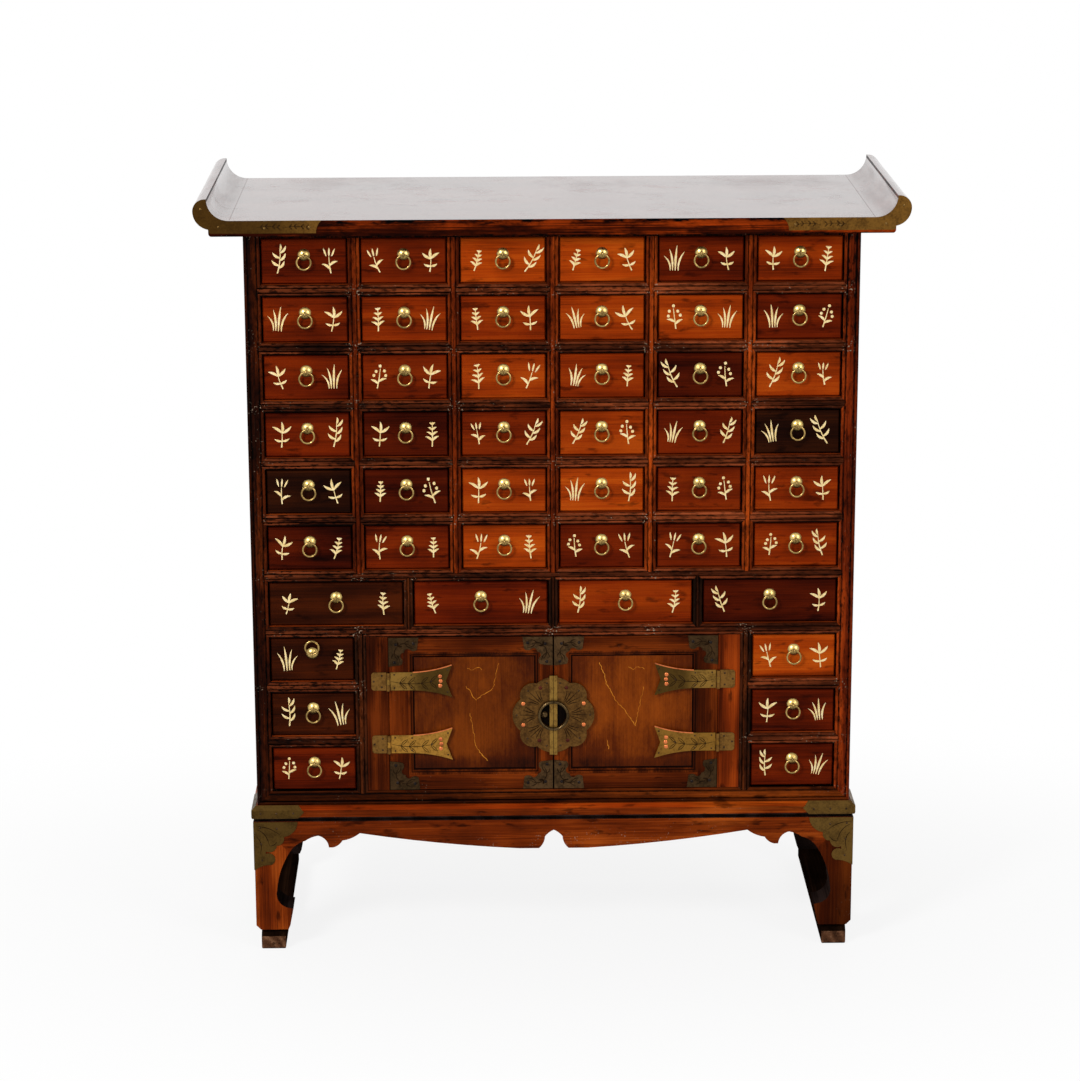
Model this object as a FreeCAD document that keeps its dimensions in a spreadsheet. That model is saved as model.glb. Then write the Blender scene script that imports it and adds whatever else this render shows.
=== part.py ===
import FreeCAD, Part
import os
import re
import Sketcher

# Apothecary cabinet: a chest of small drawers over a cupboard, on a low stand with floor runners.
# Millimetres. +Z is up, the front faces -Y, and the origin is on the floor under the middle of the top.

SIZES = {
    # Drawers
    "front_width": 107.7,
    "front_height": 57.2,
    "front_thickness": 14,
    "front_chamfer": 1.5,
    "front_gap": 1.2,
    "front_recess": 4,
    "drawer_back_clearance": 18,
    "drawer_board": 8,
    "drawer_side_inset": 1,
    "drawer_side_height": 47,
    "drawer_bottom_thickness": 5,
    "drawer_bottom_lift": 3,
    "drawer_running_gap": 0.2,
    # Ring pulls
    "rose_radius": 7.9,
    "rose_height": 4.2,
    "rose_rise": 8,
    "eye_radius": 2.6,
    "eye_wire": 0.8,
    "eye_stand": 1.8,
    "ring_radius": 8.8,
    "ring_wire": 1.3,
    "ring_slack": 0.2,
    # Front frame
    "frame_depth": 20,
    "stile_width": 21,
    "mullion_width": 15.2,
    "wide_mullion_width": 12.1,
    "rail_height": 15.2,
    "top_rail_height": 6,
    "bottom_rail_height": 19.6,
    "reed_depth": 1.6,
    "reed_side": 4.4,
    "jamb_width": 28,
    # Carcass and what the drawers slide on
    "side_thickness": 18,
    "bottom_thickness": 14,
    "back_thickness": 8,
    "partition_thickness": 13,
    "wide_partition_thickness": 10,
    "dust_board_thickness": 9,
    # Top with its scroll ends
    "top_depth": 356,
    "top_thickness": 20,
    "top_front_overhang": 22,
    "top_back_overhang": 6,
    "top_side_reach": 15.7,
    "scroll_hollow_radius": 27.3,
    "scroll_lip_flat": 2,
    "scroll_roll_radius": 15.3,
    "scroll_lip_reach": 25.5,
    "scroll_lip_drop": 11,
    "scroll_lip_rounding": 4,
    "end_plate_thickness": 1,
    "end_plate_run": 116,
    "end_plate_margin": 4,
    "end_plate_slant": 7,
    "end_plate_curl": 5.5,
    # Doors
    "door_gap": 0.8,
    "door_meeting_gap": 2,
    "door_recess": 1,
    "door_thickness": 16,
    "door_hinge_stile": 25,
    "door_meeting_stile": 16,
    "door_rail": 20,
    "panel_recess": 4,
    "panel_thickness": 8,
    "moulding_width": 8,
    "moulding_lip": 1.5,
    "corner_plate_thickness": 1,
    "corner_plate_arm": 39,
    "corner_plate_end": 16,
    "corner_plate_slant": 2,
    "corner_plate_swell": 2.2,
    "corner_plate_cusp": 27.5,
    "corner_plate_bite": 15.2,
    "corner_plate_throat": 20,
    # Strap hinges
    "hinge_lower_z": 283,
    "hinge_upper_z": 369,
    "hinge_plate": 1.2,
    "hinge_height": 24.5,
    "hinge_barrel_radius": 2.6,
    "hinge_stand": 0.3,
    "hinge_pin_radius": 1.2,
    "hinge_pin_clearance": 0.05,
    "hinge_knuckle_gap": 0.3,
    "hinge_leaf_gap": 0.4,
    "leaf_width": 22,
    "leaf_rounding": 4,
    "strap_straight": 32,
    "strap_length": 83,
    "strap_tail_height": 43.6,
    "strap_notch": 8,
    "strap_waist": 2,
    # Round lock plate with its bar and grip
    "lock_z": 321.5,
    "lock_plate_thickness": 1.2,
    "lock_side_tip": 53.5,
    "lock_corner_tip": 54.5,
    "lock_end_tip": 51.5,
    "lock_cusp_radius": 48,
    "lock_hole_radius": 17,
    "lock_gap": 0.6,
    "lock_bar_width": 10,
    "lock_bar_length": 108,
    "lock_bar_thickness": 1.8,
    "grip_radius": 18.5,
    "grip_wire": 1.9,
    "grip_seat": 0.05,
    "knob_offset": 11.3,
    "knob_radius": 4.8,
    "knob_height": 3.4,
    # Stand
    "stand_height": 200,
    "cap_thickness": 18,
    "cap_reach": 7,
    "cap_overhang": 2,
    "cap_rail_width": 50,
    "cap_rounding": 5,
    "cap_bevel": 5,
    "cap_brass": 0.8,
    "cap_brass_run": 69,
    "cap_brass_point": 8,
    "cap_brass_skirt": 1.6,
    "leg_depth": 43,
    "leg_foot_width": 45,
    "leg_foot_chamfer": 6,
    "leg_foot_tuck": 2.5,
    "leg_toe_width": 49.5,
    "leg_toe_height": 29,
    "leg_neck_width": 28.5,
    "leg_neck_height": 55,
    "leg_mitre": 46,
    "stand_reveal": 3,
    "stand_reveal_depth": 5,
    "apron_thickness": 20,
    "apron_arch_drop": 23,
    "apron_pendant_drop": 39.5,
    "apron_peak_drop": 20,
    "apron_belly_drop": 43,
    "apron_notch_drop": 17.5,
    "apron_notch_half": 19.5,
    "side_apron_thickness": 18,
    "side_apron_drop": 38,
    "side_apron_arch": 10,
    "runner_height": 28,
    "runner_width": 32,
    "runner_setback": 1,
    "runner_chamfer": 10,
    "runner_rounding": 3,
    "bracket_thickness": 0.9,
    "bracket_gap": 3.4,
}

COLUMNS = 6
ROWS = 6
WIDE_DRAWERS = 4
LOW_ROWS = 3
LEVELS = ROWS + 1 + LOW_ROWS
LOCK_PETALS = 8
LOCK_CUSP_TURN = 26.5

# Places and sizes that follow from the driving dimensions.
LAYOUT = {
    "front_y": "top_front_overhang - top_depth / 2",
    "back_y": "top_depth / 2 - top_back_overhang",
    "inside_y": "front_y + frame_depth",
    "inside_depth": "back_y - back_thickness - inside_y",
    "drawer_length": "inside_depth + frame_depth - front_recess - drawer_back_clearance",
    "opening_width": "front_width + 2 * front_gap",
    "opening_height": "front_height + 2 * front_gap",
    "column_pitch": "opening_width + mullion_width",
    "row_pitch": "opening_height + rail_height",
    "inner_half": f"({COLUMNS} * column_pitch - mullion_width) / 2",
    "carcass_half": "inner_half + stile_width",
    "side_x": "carcass_half - side_thickness",
    "floor_z": "stand_height + bottom_rail_height",
    "rows_top": f"floor_z + {LEVELS} * row_pitch - rail_height",
    "top_z": "rows_top + top_rail_height",
    "upper_z": f"floor_z + {LOW_ROWS + 1} * row_pitch",
    "wide_z": f"floor_z + {LOW_ROWS} * row_pitch",
    "cupboard_height": "wide_z - rail_height - floor_z",
    "cupboard_half": "inner_half - column_pitch - jamb_width",
    "wide_opening": f"(2 * inner_half - {WIDE_DRAWERS - 1} * wide_mullion_width) / {WIDE_DRAWERS}",
    "wide_pitch": "wide_opening + wide_mullion_width",
    "wide_front_width": "wide_opening - 2 * front_gap",
    "pull_z": "front_height / 2 + rose_rise",
    "pull_y": "-rose_height - eye_stand",
    "rose_sphere": "(rose_radius * rose_radius + rose_height * rose_height) / (2 * rose_height)",
    "ring_drop": "ring_radius + eye_radius - eye_wire - ring_wire - ring_slack",
    "crease_x": "carcass_half + top_side_reach",
    "top_surface": "top_z + top_thickness",
    "roll_x": "scroll_hollow_radius + scroll_lip_flat",
    "roll_z": "scroll_hollow_radius - scroll_roll_radius",
    "tip_x": "roll_x + scroll_roll_radius",
    "under_x": "tip_x - scroll_lip_reach",
    "under_z": "roll_z + scroll_lip_drop",
    "under_radius": "(under_x * under_x + under_z * under_z) / (2 * under_x)",
    "under_turn": "asin(under_z / under_radius) / 1 deg",
    "door_y": "front_y + door_recess",
    "door_z": "floor_z + door_gap",
    "door_height": "cupboard_height - 2 * door_gap",
    "door_top": "door_z + door_height",
    "door_outer": "cupboard_half - door_gap",
    "door_inner": "door_meeting_gap / 2",
    "panel_outer": "door_outer - door_hinge_stile",
    "panel_inner": "door_inner + door_meeting_stile",
    "panel_low": "door_z + door_rail",
    "panel_high": "door_top - door_rail",
    "knuckle_half": "hinge_height / 6",
    "leaf_start": "hinge_barrel_radius + hinge_leaf_gap",
    "lock_bar_y": "door_y - lock_plate_thickness - lock_bar_thickness",
    "grip_y": "lock_bar_y - grip_seat - grip_wire",
    "knob_sphere": "(knob_radius * knob_radius + knob_height * knob_height) / (2 * knob_height)",
    "cap_half": "carcass_half + cap_reach",
    "cap_y": "front_y - cap_reach",
    "cap_z": "stand_height - cap_thickness",
    "stand_half": "cap_half - cap_overhang",
    "stand_y": "cap_y + cap_overhang",
    "stand_depth": "back_y - stand_y",
    "leg_x": "-stand_half",
}

doc = FreeCAD.newDocument("apothecary_cabinet")
sheet = doc.addObject("Spreadsheet::Sheet", "Sizes")
for line, (size_name, size) in enumerate(SIZES.items(), start=1):
    sheet.set(f"A{line}", size_name)
    sheet.set(f"B{line}", str(size))
    sheet.setAlias(f"B{line}", size_name)
doc.recompute()


def bound(text):
    """The expression with each plain size name led back to the object that holds it."""
    def owner(match):
        word = match.group(0)
        if word in SIZES:
            return "Sizes." + word
        if word in LAYOUT:
            return "Layout." + word
        return word
    return re.sub(r"[a-z_]+", owner, text)


layout = doc.addObject("App::VarSet", "Layout")
for place_name, place_text in LAYOUT.items():
    layout.addProperty("App::PropertyFloat", place_name, "Layout")
    layout.setExpression(place_name, bound(place_text))
doc.recompute()

NODES = []


def node(label, pieces):
    """A sub-part of the cabinet: one named group of separate solids."""
    group = doc.addObject("Part::Compound", label)
    group.Label = label
    group.Links = pieces
    NODES.append(group)
    return group


def place(piece, at):
    for axis, text in zip("xyz", at):
        piece.setExpression(f"Placement.Base.{axis}", bound(text))
    return piece


def moved(pieces, name, at):
    """The same pieces again, carried to another place."""
    group = doc.addObject("Part::Compound", name)
    group.Links = pieces
    return place(group, at)


def mirrored(piece, name, normal=(1, 0, 0)):
    copy = doc.addObject("Part::Mirroring", name)
    copy.Source = piece
    copy.Normal = FreeCAD.Vector(*normal)
    return copy


def both_sides(pieces):
    """Pieces of the left half, followed by their mirror images on the right."""
    return pieces + [mirrored(piece, piece.Name + "_right") for piece in pieces]


def box(name, at, size):
    piece = doc.addObject("Part::Box", name)
    for side, text in zip(("Length", "Width", "Height"), size):
        piece.setExpression(side, bound(text))
    return place(piece, at)


def rod(name, at, radius, length):
    """An upright round bar."""
    piece = doc.addObject("Part::Cylinder", name)
    piece.setExpression("Radius", bound(radius))
    piece.setExpression("Height", bound(length))
    return place(piece, at)


def turned(piece, axis):
    piece.Placement = FreeCAD.Placement(FreeCAD.Vector(), FreeCAD.Rotation(FreeCAD.Vector(*axis), 90))
    return piece


def wire_ring(name, at, radius, wire, axis):
    """A ring of round wire, turned from level by a quarter about the axis."""
    piece = turned(doc.addObject("Part::Torus", name), axis)
    piece.setExpression("Radius1", bound(radius))
    piece.setExpression("Radius2", bound(wire))
    return place(piece, at)


def dome(name, at, sphere, height):
    """A cap of a sphere that bulges to the front."""
    piece = turned(doc.addObject("Part::Sphere", name), (1, 0, 0))
    piece.setExpression("Radius", bound(sphere))
    piece.setExpression("Angle1", bound(f"asin(({sphere} - {height}) / {sphere})"))
    return place(piece, at)


def cut(name, base, tool):
    piece = doc.addObject("Part::Cut", name)
    piece.Base = base
    piece.Tool = tool
    return piece


def common(name, base, tool):
    piece = doc.addObject("Part::Common", name)
    piece.Base = base
    piece.Tool = tool
    return piece


def fused(name, pieces):
    piece = doc.addObject("Part::MultiFuse", name)
    piece.Shapes = pieces
    return piece


def pin_down(sketch, geometry, end, spot):
    """Tie a sketch point to the sizes, across and up."""
    for direction, text in zip(("DistanceX", "DistanceY"), spot):
        value = float(sheet.evalExpression(bound(text)))
        index = sketch.addConstraint(Sketcher.Constraint(direction, -1, 1, geometry, end, value))
        sketch.setExpression(f"Constraints[{index}]", bound(text))


def spot_of(texts):
    across, up = (float(sheet.evalExpression(bound(text))) for text in texts)
    return FreeCAD.Vector(across, up, 0)


def padded(name, plane, corners, thickness, reverse=False):
    """A body padded from a closed outline on one of its origin planes.

    A corner is (across, up), or (across, up, through_across, through_up) where an arc leads to it.
    """
    body = doc.addObject("PartDesign::Body", name)
    sketch = body.newObject("Sketcher::SketchObject", name + "_outline")
    origin_plane = [face for face in body.Origin.OriginFeatures if face.Role == plane][0]
    sketch.AttachmentSupport = [(origin_plane, "")]
    sketch.MapMode = "FlatFace"
    ends = []
    for index, corner in enumerate(corners):
        start = spot_of(corners[index - 1][:2])
        stop = spot_of(corner[:2])
        if len(corner) == 2:
            edge = sketch.addGeometry(Part.LineSegment(start, stop), False)
            ends.append((edge, 1, 2))
            continue
        through = spot_of(corner[2:])
        leftward = (through - start).cross(stop - through).z > 0
        arc = Part.ArcOfCircle(start, through, stop) if leftward else Part.ArcOfCircle(stop, through, start)
        edge = sketch.addGeometry(arc, False)
        ends.append((edge, 1, 2) if leftward else (edge, 2, 1))
        mark = sketch.addGeometry(Part.Point(through), True)
        sketch.addConstraint(Sketcher.Constraint("PointOnObject", mark, 1, edge))
        pin_down(sketch, mark, 1, corner[2:])
    for index, corner in enumerate(corners):
        edge, _, stop = ends[index]
        following, start, _ = ends[(index + 1) % len(corners)]
        sketch.addConstraint(Sketcher.Constraint("Coincident", edge, stop, following, start))
        pin_down(sketch, edge, stop, corner[:2])
    pad = body.newObject("PartDesign::Pad", name + "_pad")
    pad.Profile = sketch
    pad.setExpression("Length", bound(thickness))
    pad.Reversed = reverse
    return body


def outer_face(feature, direction):
    """The name of the feature's flat face that lies furthest along a direction."""
    reach = [face.CenterOfMass.dot(FreeCAD.Vector(*direction)) for face in feature.Shape.Faces]
    return f"Face{reach.index(max(reach)) + 1}"


# Ring pull: a domed rose, the staple through it and the ring that hangs in the staple.
rose = dome("rose", ("0", "rose_sphere - rose_height", "pull_z"), "rose_sphere", "rose_height")
eye = wire_ring("eye", ("0", "pull_y", "pull_z"), "eye_radius", "eye_wire", (0, 1, 0))
staple = cut("staple", eye, rose)
ring = wire_ring("ring", ("0", "pull_y", "pull_z - ring_drop"), "ring_radius", "ring_wire", (1, 0, 0))
raised_ring = wire_ring("raised_ring", ("0", "pull_y", "pull_z + ring_drop"),
                        "ring_radius", "ring_wire", (1, 0, 0))


def drawer_boards(kind, width):
    """Front, sides, back and bottom of a drawer. Its origin is at the middle of the front's lower edge."""
    half = f"{width} / 2"
    front_corners = [
        (f"-{half}", "0"),
        (half, "0"),
        (half, "front_height"),
        (f"-{half}", "front_height"),
    ]
    front = padded(kind + "_front", "XZ_Plane", front_corners, "front_thickness", reverse=True)
    doc.recompute()
    slab = front.Tip
    chamfer = front.newObject("PartDesign::Chamfer", kind + "_front_chamfer")
    chamfer.Base = (slab, [outer_face(slab, (0, -1, 0))])
    chamfer.setExpression("Size", bound("front_chamfer"))
    inner = f"{half} - drawer_side_inset - drawer_board"
    low = "drawer_running_gap - front_gap"
    side_size = ("drawer_board", "drawer_length - front_thickness", "drawer_side_height")
    left = box(kind + "_left_side", (f"drawer_side_inset - {half}", "front_thickness", low), side_size)
    right = box(kind + "_right_side", (inner, "front_thickness", low), side_size)
    back = box(
        kind + "_back",
        (f"-({inner})", "drawer_length - drawer_board", low),
        (f"2 * ({inner})", "drawer_board", "drawer_side_height"),
    )
    bottom = box(
        kind + "_bottom",
        (f"-({inner})", "front_thickness", f"{low} + drawer_bottom_lift"),
        (f"2 * ({inner})", "drawer_length - front_thickness - drawer_board", "drawer_bottom_thickness"),
    )
    return [front, left, right, back, bottom]


def drawer(label, pieces, column_x, row_z):
    place(node(label, pieces), (column_x, "front_y + front_recess", f"{row_z} + front_gap"))


def column_middle(column):
    return f"{column} * column_pitch + opening_width / 2 - inner_half"


small_boards = drawer_boards("small_drawer", "front_width")
wide_boards = drawer_boards("wide_drawer", "wide_front_width")
pull = [rose, staple, ring]
for row in range(ROWS):
    for column in range(COLUMNS):
        row_floor = f"floor_z + {LEVELS - 1 - row} * row_pitch"
        small_label = f"small_drawer_r{row + 1}_c{column + 1}"
        drawer(small_label, small_boards + pull, column_middle(column), row_floor)
for column in range(WIDE_DRAWERS):
    wide_middle = f"{column} * wide_pitch + wide_opening / 2 - inner_half"
    drawer(f"wide_drawer_{column + 1}", wide_boards + pull, wide_middle, "wide_z")
for row in range(LOW_ROWS):
    row_floor = f"floor_z + {LOW_ROWS - 1 - row} * row_pitch"
    left_pull = [rose, staple, raised_ring] if row == 0 else pull
    drawer(f"low_left_drawer_{row + 1}", small_boards + left_pull, column_middle(0), row_floor)
    drawer(f"low_right_drawer_{row + 1}", small_boards + pull, column_middle(COLUMNS - 1), row_floor)


def reeded(name, upright, width, length):
    """A bar of the front frame with three rounded reeds along its face, upright or level."""
    reed_edges = ["0", "reed_side", f"{width} - reed_side", width]
    face = [("0", "reed_depth")]
    for foot, next_foot in zip(reed_edges, reed_edges[1:]):
        face.append((next_foot, "reed_depth", f"({foot} + {next_foot}) / 2", "0"))
    corners = face + [(width, "frame_depth"), ("0", "frame_depth")]
    if upright:
        return padded(name, "XY_Plane", corners, length)
    swapped = []
    for corner in corners:
        turned_corner = (corner[1], corner[0])
        if len(corner) == 4:
            turned_corner += (corner[3], corner[2])
        swapped.append(turned_corner)
    return padded(name, "YZ_Plane", swapped, length)


def tongue_corners(width, start, way):
    """Corners, along and across a bar, of an end that reaches one reed into the bar it meets."""
    tip = f"{start} + {way} * reed_side"
    return [(start, "0"), (tip, "reed_side"), (tip, f"{width} - reed_side"), (start, width)]


def tongued(name, upright, width, length, both_ends=True):
    """A reeded bar whose ends are tongues, so that the outer reeds of the bars meet in mitres."""
    far_end = tongue_corners(width, length, 1) if both_ends else [(length, "0"), (length, width)]
    outline = far_end + tongue_corners(width, "0", -1)[::-1]
    blank = reeded(name + "_blank", upright, width, f"{length} + 2 * reed_side")
    if upright:
        outline = [(across, along) for along, across in outline]
        place(blank, ("0", "0", "-reed_side"))
    else:
        place(blank, ("-reed_side", "0", "0"))
    plan = padded(name + "_plan", "XZ_Plane", outline, "frame_depth", reverse=True)
    return common(name + "_bar", blank, plan)


def tongue_room(name, upright, width, way):
    """What a tongue takes out of the bar it meets, from the edge of that bar inwards."""
    outline = tongue_corners(width, "0", way)
    if upright:
        outline = [(across, along) for along, across in outline]
    return padded(name, "XZ_Plane", outline, "frame_depth", reverse=True)


rightward_room = tongue_room("rightward_room", False, "rail_height", 1)
leftward_room = tongue_room("leftward_room", False, "rail_height", -1)
downward_room = tongue_room("downward_room", True, "mullion_width", -1)
upward_room = tongue_room("upward_room", True, "mullion_width", 1)
wide_downward_room = tongue_room("wide_downward_room", True, "wide_mullion_width", -1)
wide_upward_room = tongue_room("wide_upward_room", True, "wide_mullion_width", 1)


def notched(name, bar, rooms):
    """A bar with the rooms of the tongues that meet it taken out, each at its place."""
    tools = doc.addObject("Part::Compound", name + "_rooms")
    tools.Links = [moved([room], f"{name}_room_{index}", at) for index, (room, at) in enumerate(rooms)]
    return cut(name, bar, tools)


# Front frame: stiles, long rails, mullions, the short rails between them and the jambs beside the doors.
# Where a bar ends at another, its tongue interrupts the outer reed there. The stiles and the bottom rail
# meet in full mitres at the lower corners.
stile_blank = place(reeded("stile_blank", True, "stile_width", "top_z - stand_height"),
                    ("-carcass_half", "front_y", "stand_height"))
rail_corner = [("-carcass_half", "stand_height"), ("-inner_half", "stand_height"), ("-inner_half", "floor_z")]
stile_corner = [("-carcass_half", "stand_height"), ("-inner_half", "floor_z"), ("-carcass_half", "floor_z")]
rail_room = place(padded("rail_room", "XZ_Plane", rail_corner, "frame_depth"), ("0", "inside_y", "0"))
stile_room = place(padded("stile_room", "XZ_Plane", stile_corner, "frame_depth"), ("0", "inside_y", "0"))
stile_rooms = []
for level in range(1, LEVELS):
    meeting_z = f"floor_z + {level} * row_pitch - rail_height"
    stile_rooms.append((leftward_room, ("-inner_half", "front_y", meeting_z)))
left_stile = notched("stile", cut("mitred_stile", stile_blank, rail_room), stile_rooms)

column_rooms = []
for level in range(1, ROWS):
    meeting_z = f"{level} * row_pitch - rail_height"
    column_rooms.append((rightward_room, ("0", "0", meeting_z)))
    column_rooms.append((leftward_room, ("mullion_width", "0", meeting_z)))
upper_mullion_bar = tongued("upper_mullion", True, "mullion_width", "rows_top - upper_z", both_ends=False)
upper_mullion = notched("upper_mullion", upper_mullion_bar, column_rooms)
wide_mullion = tongued("wide_mullion", True, "wide_mullion_width", "opening_height")
low_rooms = []
for level in range(1, LOW_ROWS):
    low_rooms.append((rightward_room, ("0", "0", f"{level} * row_pitch - rail_height")))
low_mullion_bar = tongued("low_mullion", True, "mullion_width", "cupboard_height")
low_mullion_x = "-cupboard_half - jamb_width - mullion_width"
low_mullion = place(notched("low_mullion", low_mullion_bar, low_rooms), (low_mullion_x, "front_y", "floor_z"))

short_rail = tongued("short_rail", False, "rail_height", "opening_width")
upper_rooms = []
for column in range(1, COLUMNS):
    upper_rooms.append((downward_room, (f"{column} * column_pitch - mullion_width", "0", "rail_height")))
wide_rooms = []
for column in range(1, WIDE_DRAWERS):
    meeting_x = f"{column} * wide_pitch - wide_mullion_width"
    upper_rooms.append((wide_upward_room, (meeting_x, "0", "0")))
    wide_rooms.append((wide_downward_room, (meeting_x, "0", "rail_height")))
wide_rooms.append((upward_room, (f"inner_half + {low_mullion_x}", "0", "0")))
wide_rooms.append((upward_room, ("inner_half + cupboard_half + jamb_width", "0", "0")))
frame_bars = []
for level, rooms in (("upper_z", upper_rooms), ("wide_z", wide_rooms)):
    long_bar = tongued(f"long_rail_{level}", False, "rail_height", "2 * inner_half")
    long_rail = notched(f"long_rail_{level}", long_bar, rooms)
    frame_bars.append(place(long_rail, ("-inner_half", "front_y", f"{level} - rail_height")))
bottom_rail_blank = place(reeded("bottom_rail_blank", False, "bottom_rail_height", "2 * carcass_half"),
                          ("-carcass_half", "front_y", "stand_height"))
mitred_rail = cut("mitred_rail", bottom_rail_blank, fused("stile_rooms", both_sides([stile_room])))
bottom_rooms = []
for low_x in (low_mullion_x, "cupboard_half + jamb_width"):
    bottom_rooms.append((downward_room, (low_x, "front_y", "floor_z")))
bottom_rail = notched("bottom_rail", mitred_rail, bottom_rooms)
top_rail = box("top_rail", ("-inner_half", "front_y + reed_depth", "rows_top"),
               ("2 * inner_half", "frame_depth - reed_depth", "top_rail_height"))
jamb = box("jamb", ("-cupboard_half - jamb_width", "door_y", "floor_z"),
           ("jamb_width", "frame_depth - door_recess", "cupboard_height"))
frame_bars += both_sides([left_stile, low_mullion, jamb]) + [bottom_rail, top_rail]
for column in range(1, COLUMNS):
    mullion_x = f"{column} * column_pitch - mullion_width - inner_half"
    frame_bars.append(moved([upper_mullion], f"upper_mullion_{column}", (mullion_x, "front_y", "upper_z")))
for column in range(1, WIDE_DRAWERS):
    mullion_x = f"{column} * wide_pitch - wide_mullion_width - inner_half"
    frame_bars.append(moved([wide_mullion], f"wide_mullion_{column}", (mullion_x, "front_y", "wide_z")))
for level in range(1, LEVELS):
    if level in (LOW_ROWS, LOW_ROWS + 1):
        continue
    rail_columns = range(COLUMNS) if level > LOW_ROWS else (0, COLUMNS - 1)
    for column in rail_columns:
        rail_z = f"floor_z + {level} * row_pitch - rail_height"
        rail_at = (f"{column} * column_pitch - inner_half", "front_y", rail_z)
        frame_bars.append(moved([short_rail], f"short_rail_{level}_{column}", rail_at))
node("front_frame", frame_bars)

# Carcass: two sides, the bottom board and the back board.
left_side = box("side", ("-carcass_half", "inside_y", "stand_height"),
                ("side_thickness", "back_y - inside_y", "top_z - stand_height"))
bottom_board = box("bottom_board", ("-side_x", "inside_y", "floor_z - bottom_thickness"),
                   ("2 * side_x", "inside_depth", "bottom_thickness"))
back_board = box("back_board", ("-side_x", "back_y - back_thickness", "stand_height"),
                 ("2 * side_x", "back_thickness", "top_z - stand_height"))
node("carcass", both_sides([left_side]) + [bottom_board, back_board])


def upright_board(name, middle_x, thickness, low, high):
    return box(name, (f"{middle_x} - {thickness} / 2", "inside_y", low),
               (thickness, "inside_depth", f"{high} - ({low})"))


def dust_board(name, left, right, top):
    return box(name, (left, "inside_y", f"{top} - dust_board_thickness"),
               (f"{right} - ({left})", "inside_depth", "dust_board_thickness"))


def board_edges(column):
    """Where the dust board of a column starts and ends: at the carcass side or at a partition."""
    left = f"{column} * column_pitch - (mullion_width - partition_thickness) / 2 - inner_half"
    right = f"({column} + 1) * column_pitch - (mullion_width + partition_thickness) / 2 - inner_half"
    return ("-side_x" if column == 0 else left), ("side_x" if column == COLUMNS - 1 else right)


# Drawer guides: partitions between the columns and the dust boards that the drawers slide on.
guides = []
for level in ("upper_z", "wide_z"):
    guides.append(dust_board(f"dust_board_{level}", "-side_x", "side_x", level))
for column in range(1, COLUMNS):
    partition_x = f"{column} * column_pitch - mullion_width / 2 - inner_half"
    guides.append(upright_board(f"partition_{column}", partition_x, "partition_thickness",
                                "upper_z", "top_z"))
for column in range(1, WIDE_DRAWERS):
    partition_x = f"{column} * wide_pitch - wide_mullion_width / 2 - inner_half"
    guides.append(upright_board(f"wide_partition_{column}", partition_x, "wide_partition_thickness",
                                "wide_z", "upper_z - dust_board_thickness"))
low_partition = upright_board("low_partition", "-cupboard_half - jamb_width - mullion_width / 2",
                              "partition_thickness", "floor_z", "wide_z - dust_board_thickness")
guides += both_sides([low_partition])
for level in range(1, LEVELS):
    if level in (LOW_ROWS, LOW_ROWS + 1):
        continue
    for column in range(COLUMNS) if level > LOW_ROWS else (0, COLUMNS - 1):
        left_edge, right_edge = board_edges(column)
        board_top = f"floor_z + {level} * row_pitch"
        guides.append(dust_board(f"dust_board_{level}_{column}", left_edge, right_edge, board_top))
node("drawer_guides", guides)

# Top: a panel between two scroll ends. The scroll's outline starts at the crease where the panel ends.
hollow_middle = ("scroll_hollow_radius * sin(45)", "scroll_hollow_radius * (1 - cos(45))")
roll_middle = ("roll_x + scroll_roll_radius * cos(45)", "roll_z + scroll_roll_radius * sin(45)")
under_middle = (
    "tip_x - under_radius * (1 - cos(under_turn / 2))",
    "roll_z - under_radius * sin(under_turn / 2)",
)
scroll_curve = [
    ("scroll_hollow_radius", "scroll_hollow_radius") + hollow_middle,
    ("roll_x", "scroll_hollow_radius"),
    ("tip_x", "roll_z") + roll_middle,
    ("scroll_lip_reach", "-scroll_lip_drop") + under_middle,
]


def lip_corner(depth):
    """The rounded lower corner of the scroll's lip, for a lip that ends at a depth under the top."""
    turn = "scroll_lip_rounding * (1 - cos(45))"
    return [
        ("scroll_lip_reach", f"scroll_lip_rounding - ({depth})"),
        ("scroll_lip_reach - scroll_lip_rounding", f"-({depth})",
         f"scroll_lip_reach - {turn}", f"{turn} - ({depth})"),
    ]


scroll_corners = [("0", "0")] + scroll_curve + lip_corner("top_thickness") + [("0", "-top_thickness")]
right_scroll = place(padded("scroll", "XZ_Plane", scroll_corners, "top_depth - end_plate_thickness"),
                     ("crease_x", "top_depth / 2", "top_surface"))
panel = box("top_panel", ("-crease_x", "end_plate_thickness - top_depth / 2", "top_z"),
            ("2 * crease_x", "top_depth - end_plate_thickness", "top_thickness"))
node("top_board", [panel, right_scroll, mirrored(right_scroll, "left_scroll")])

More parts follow.
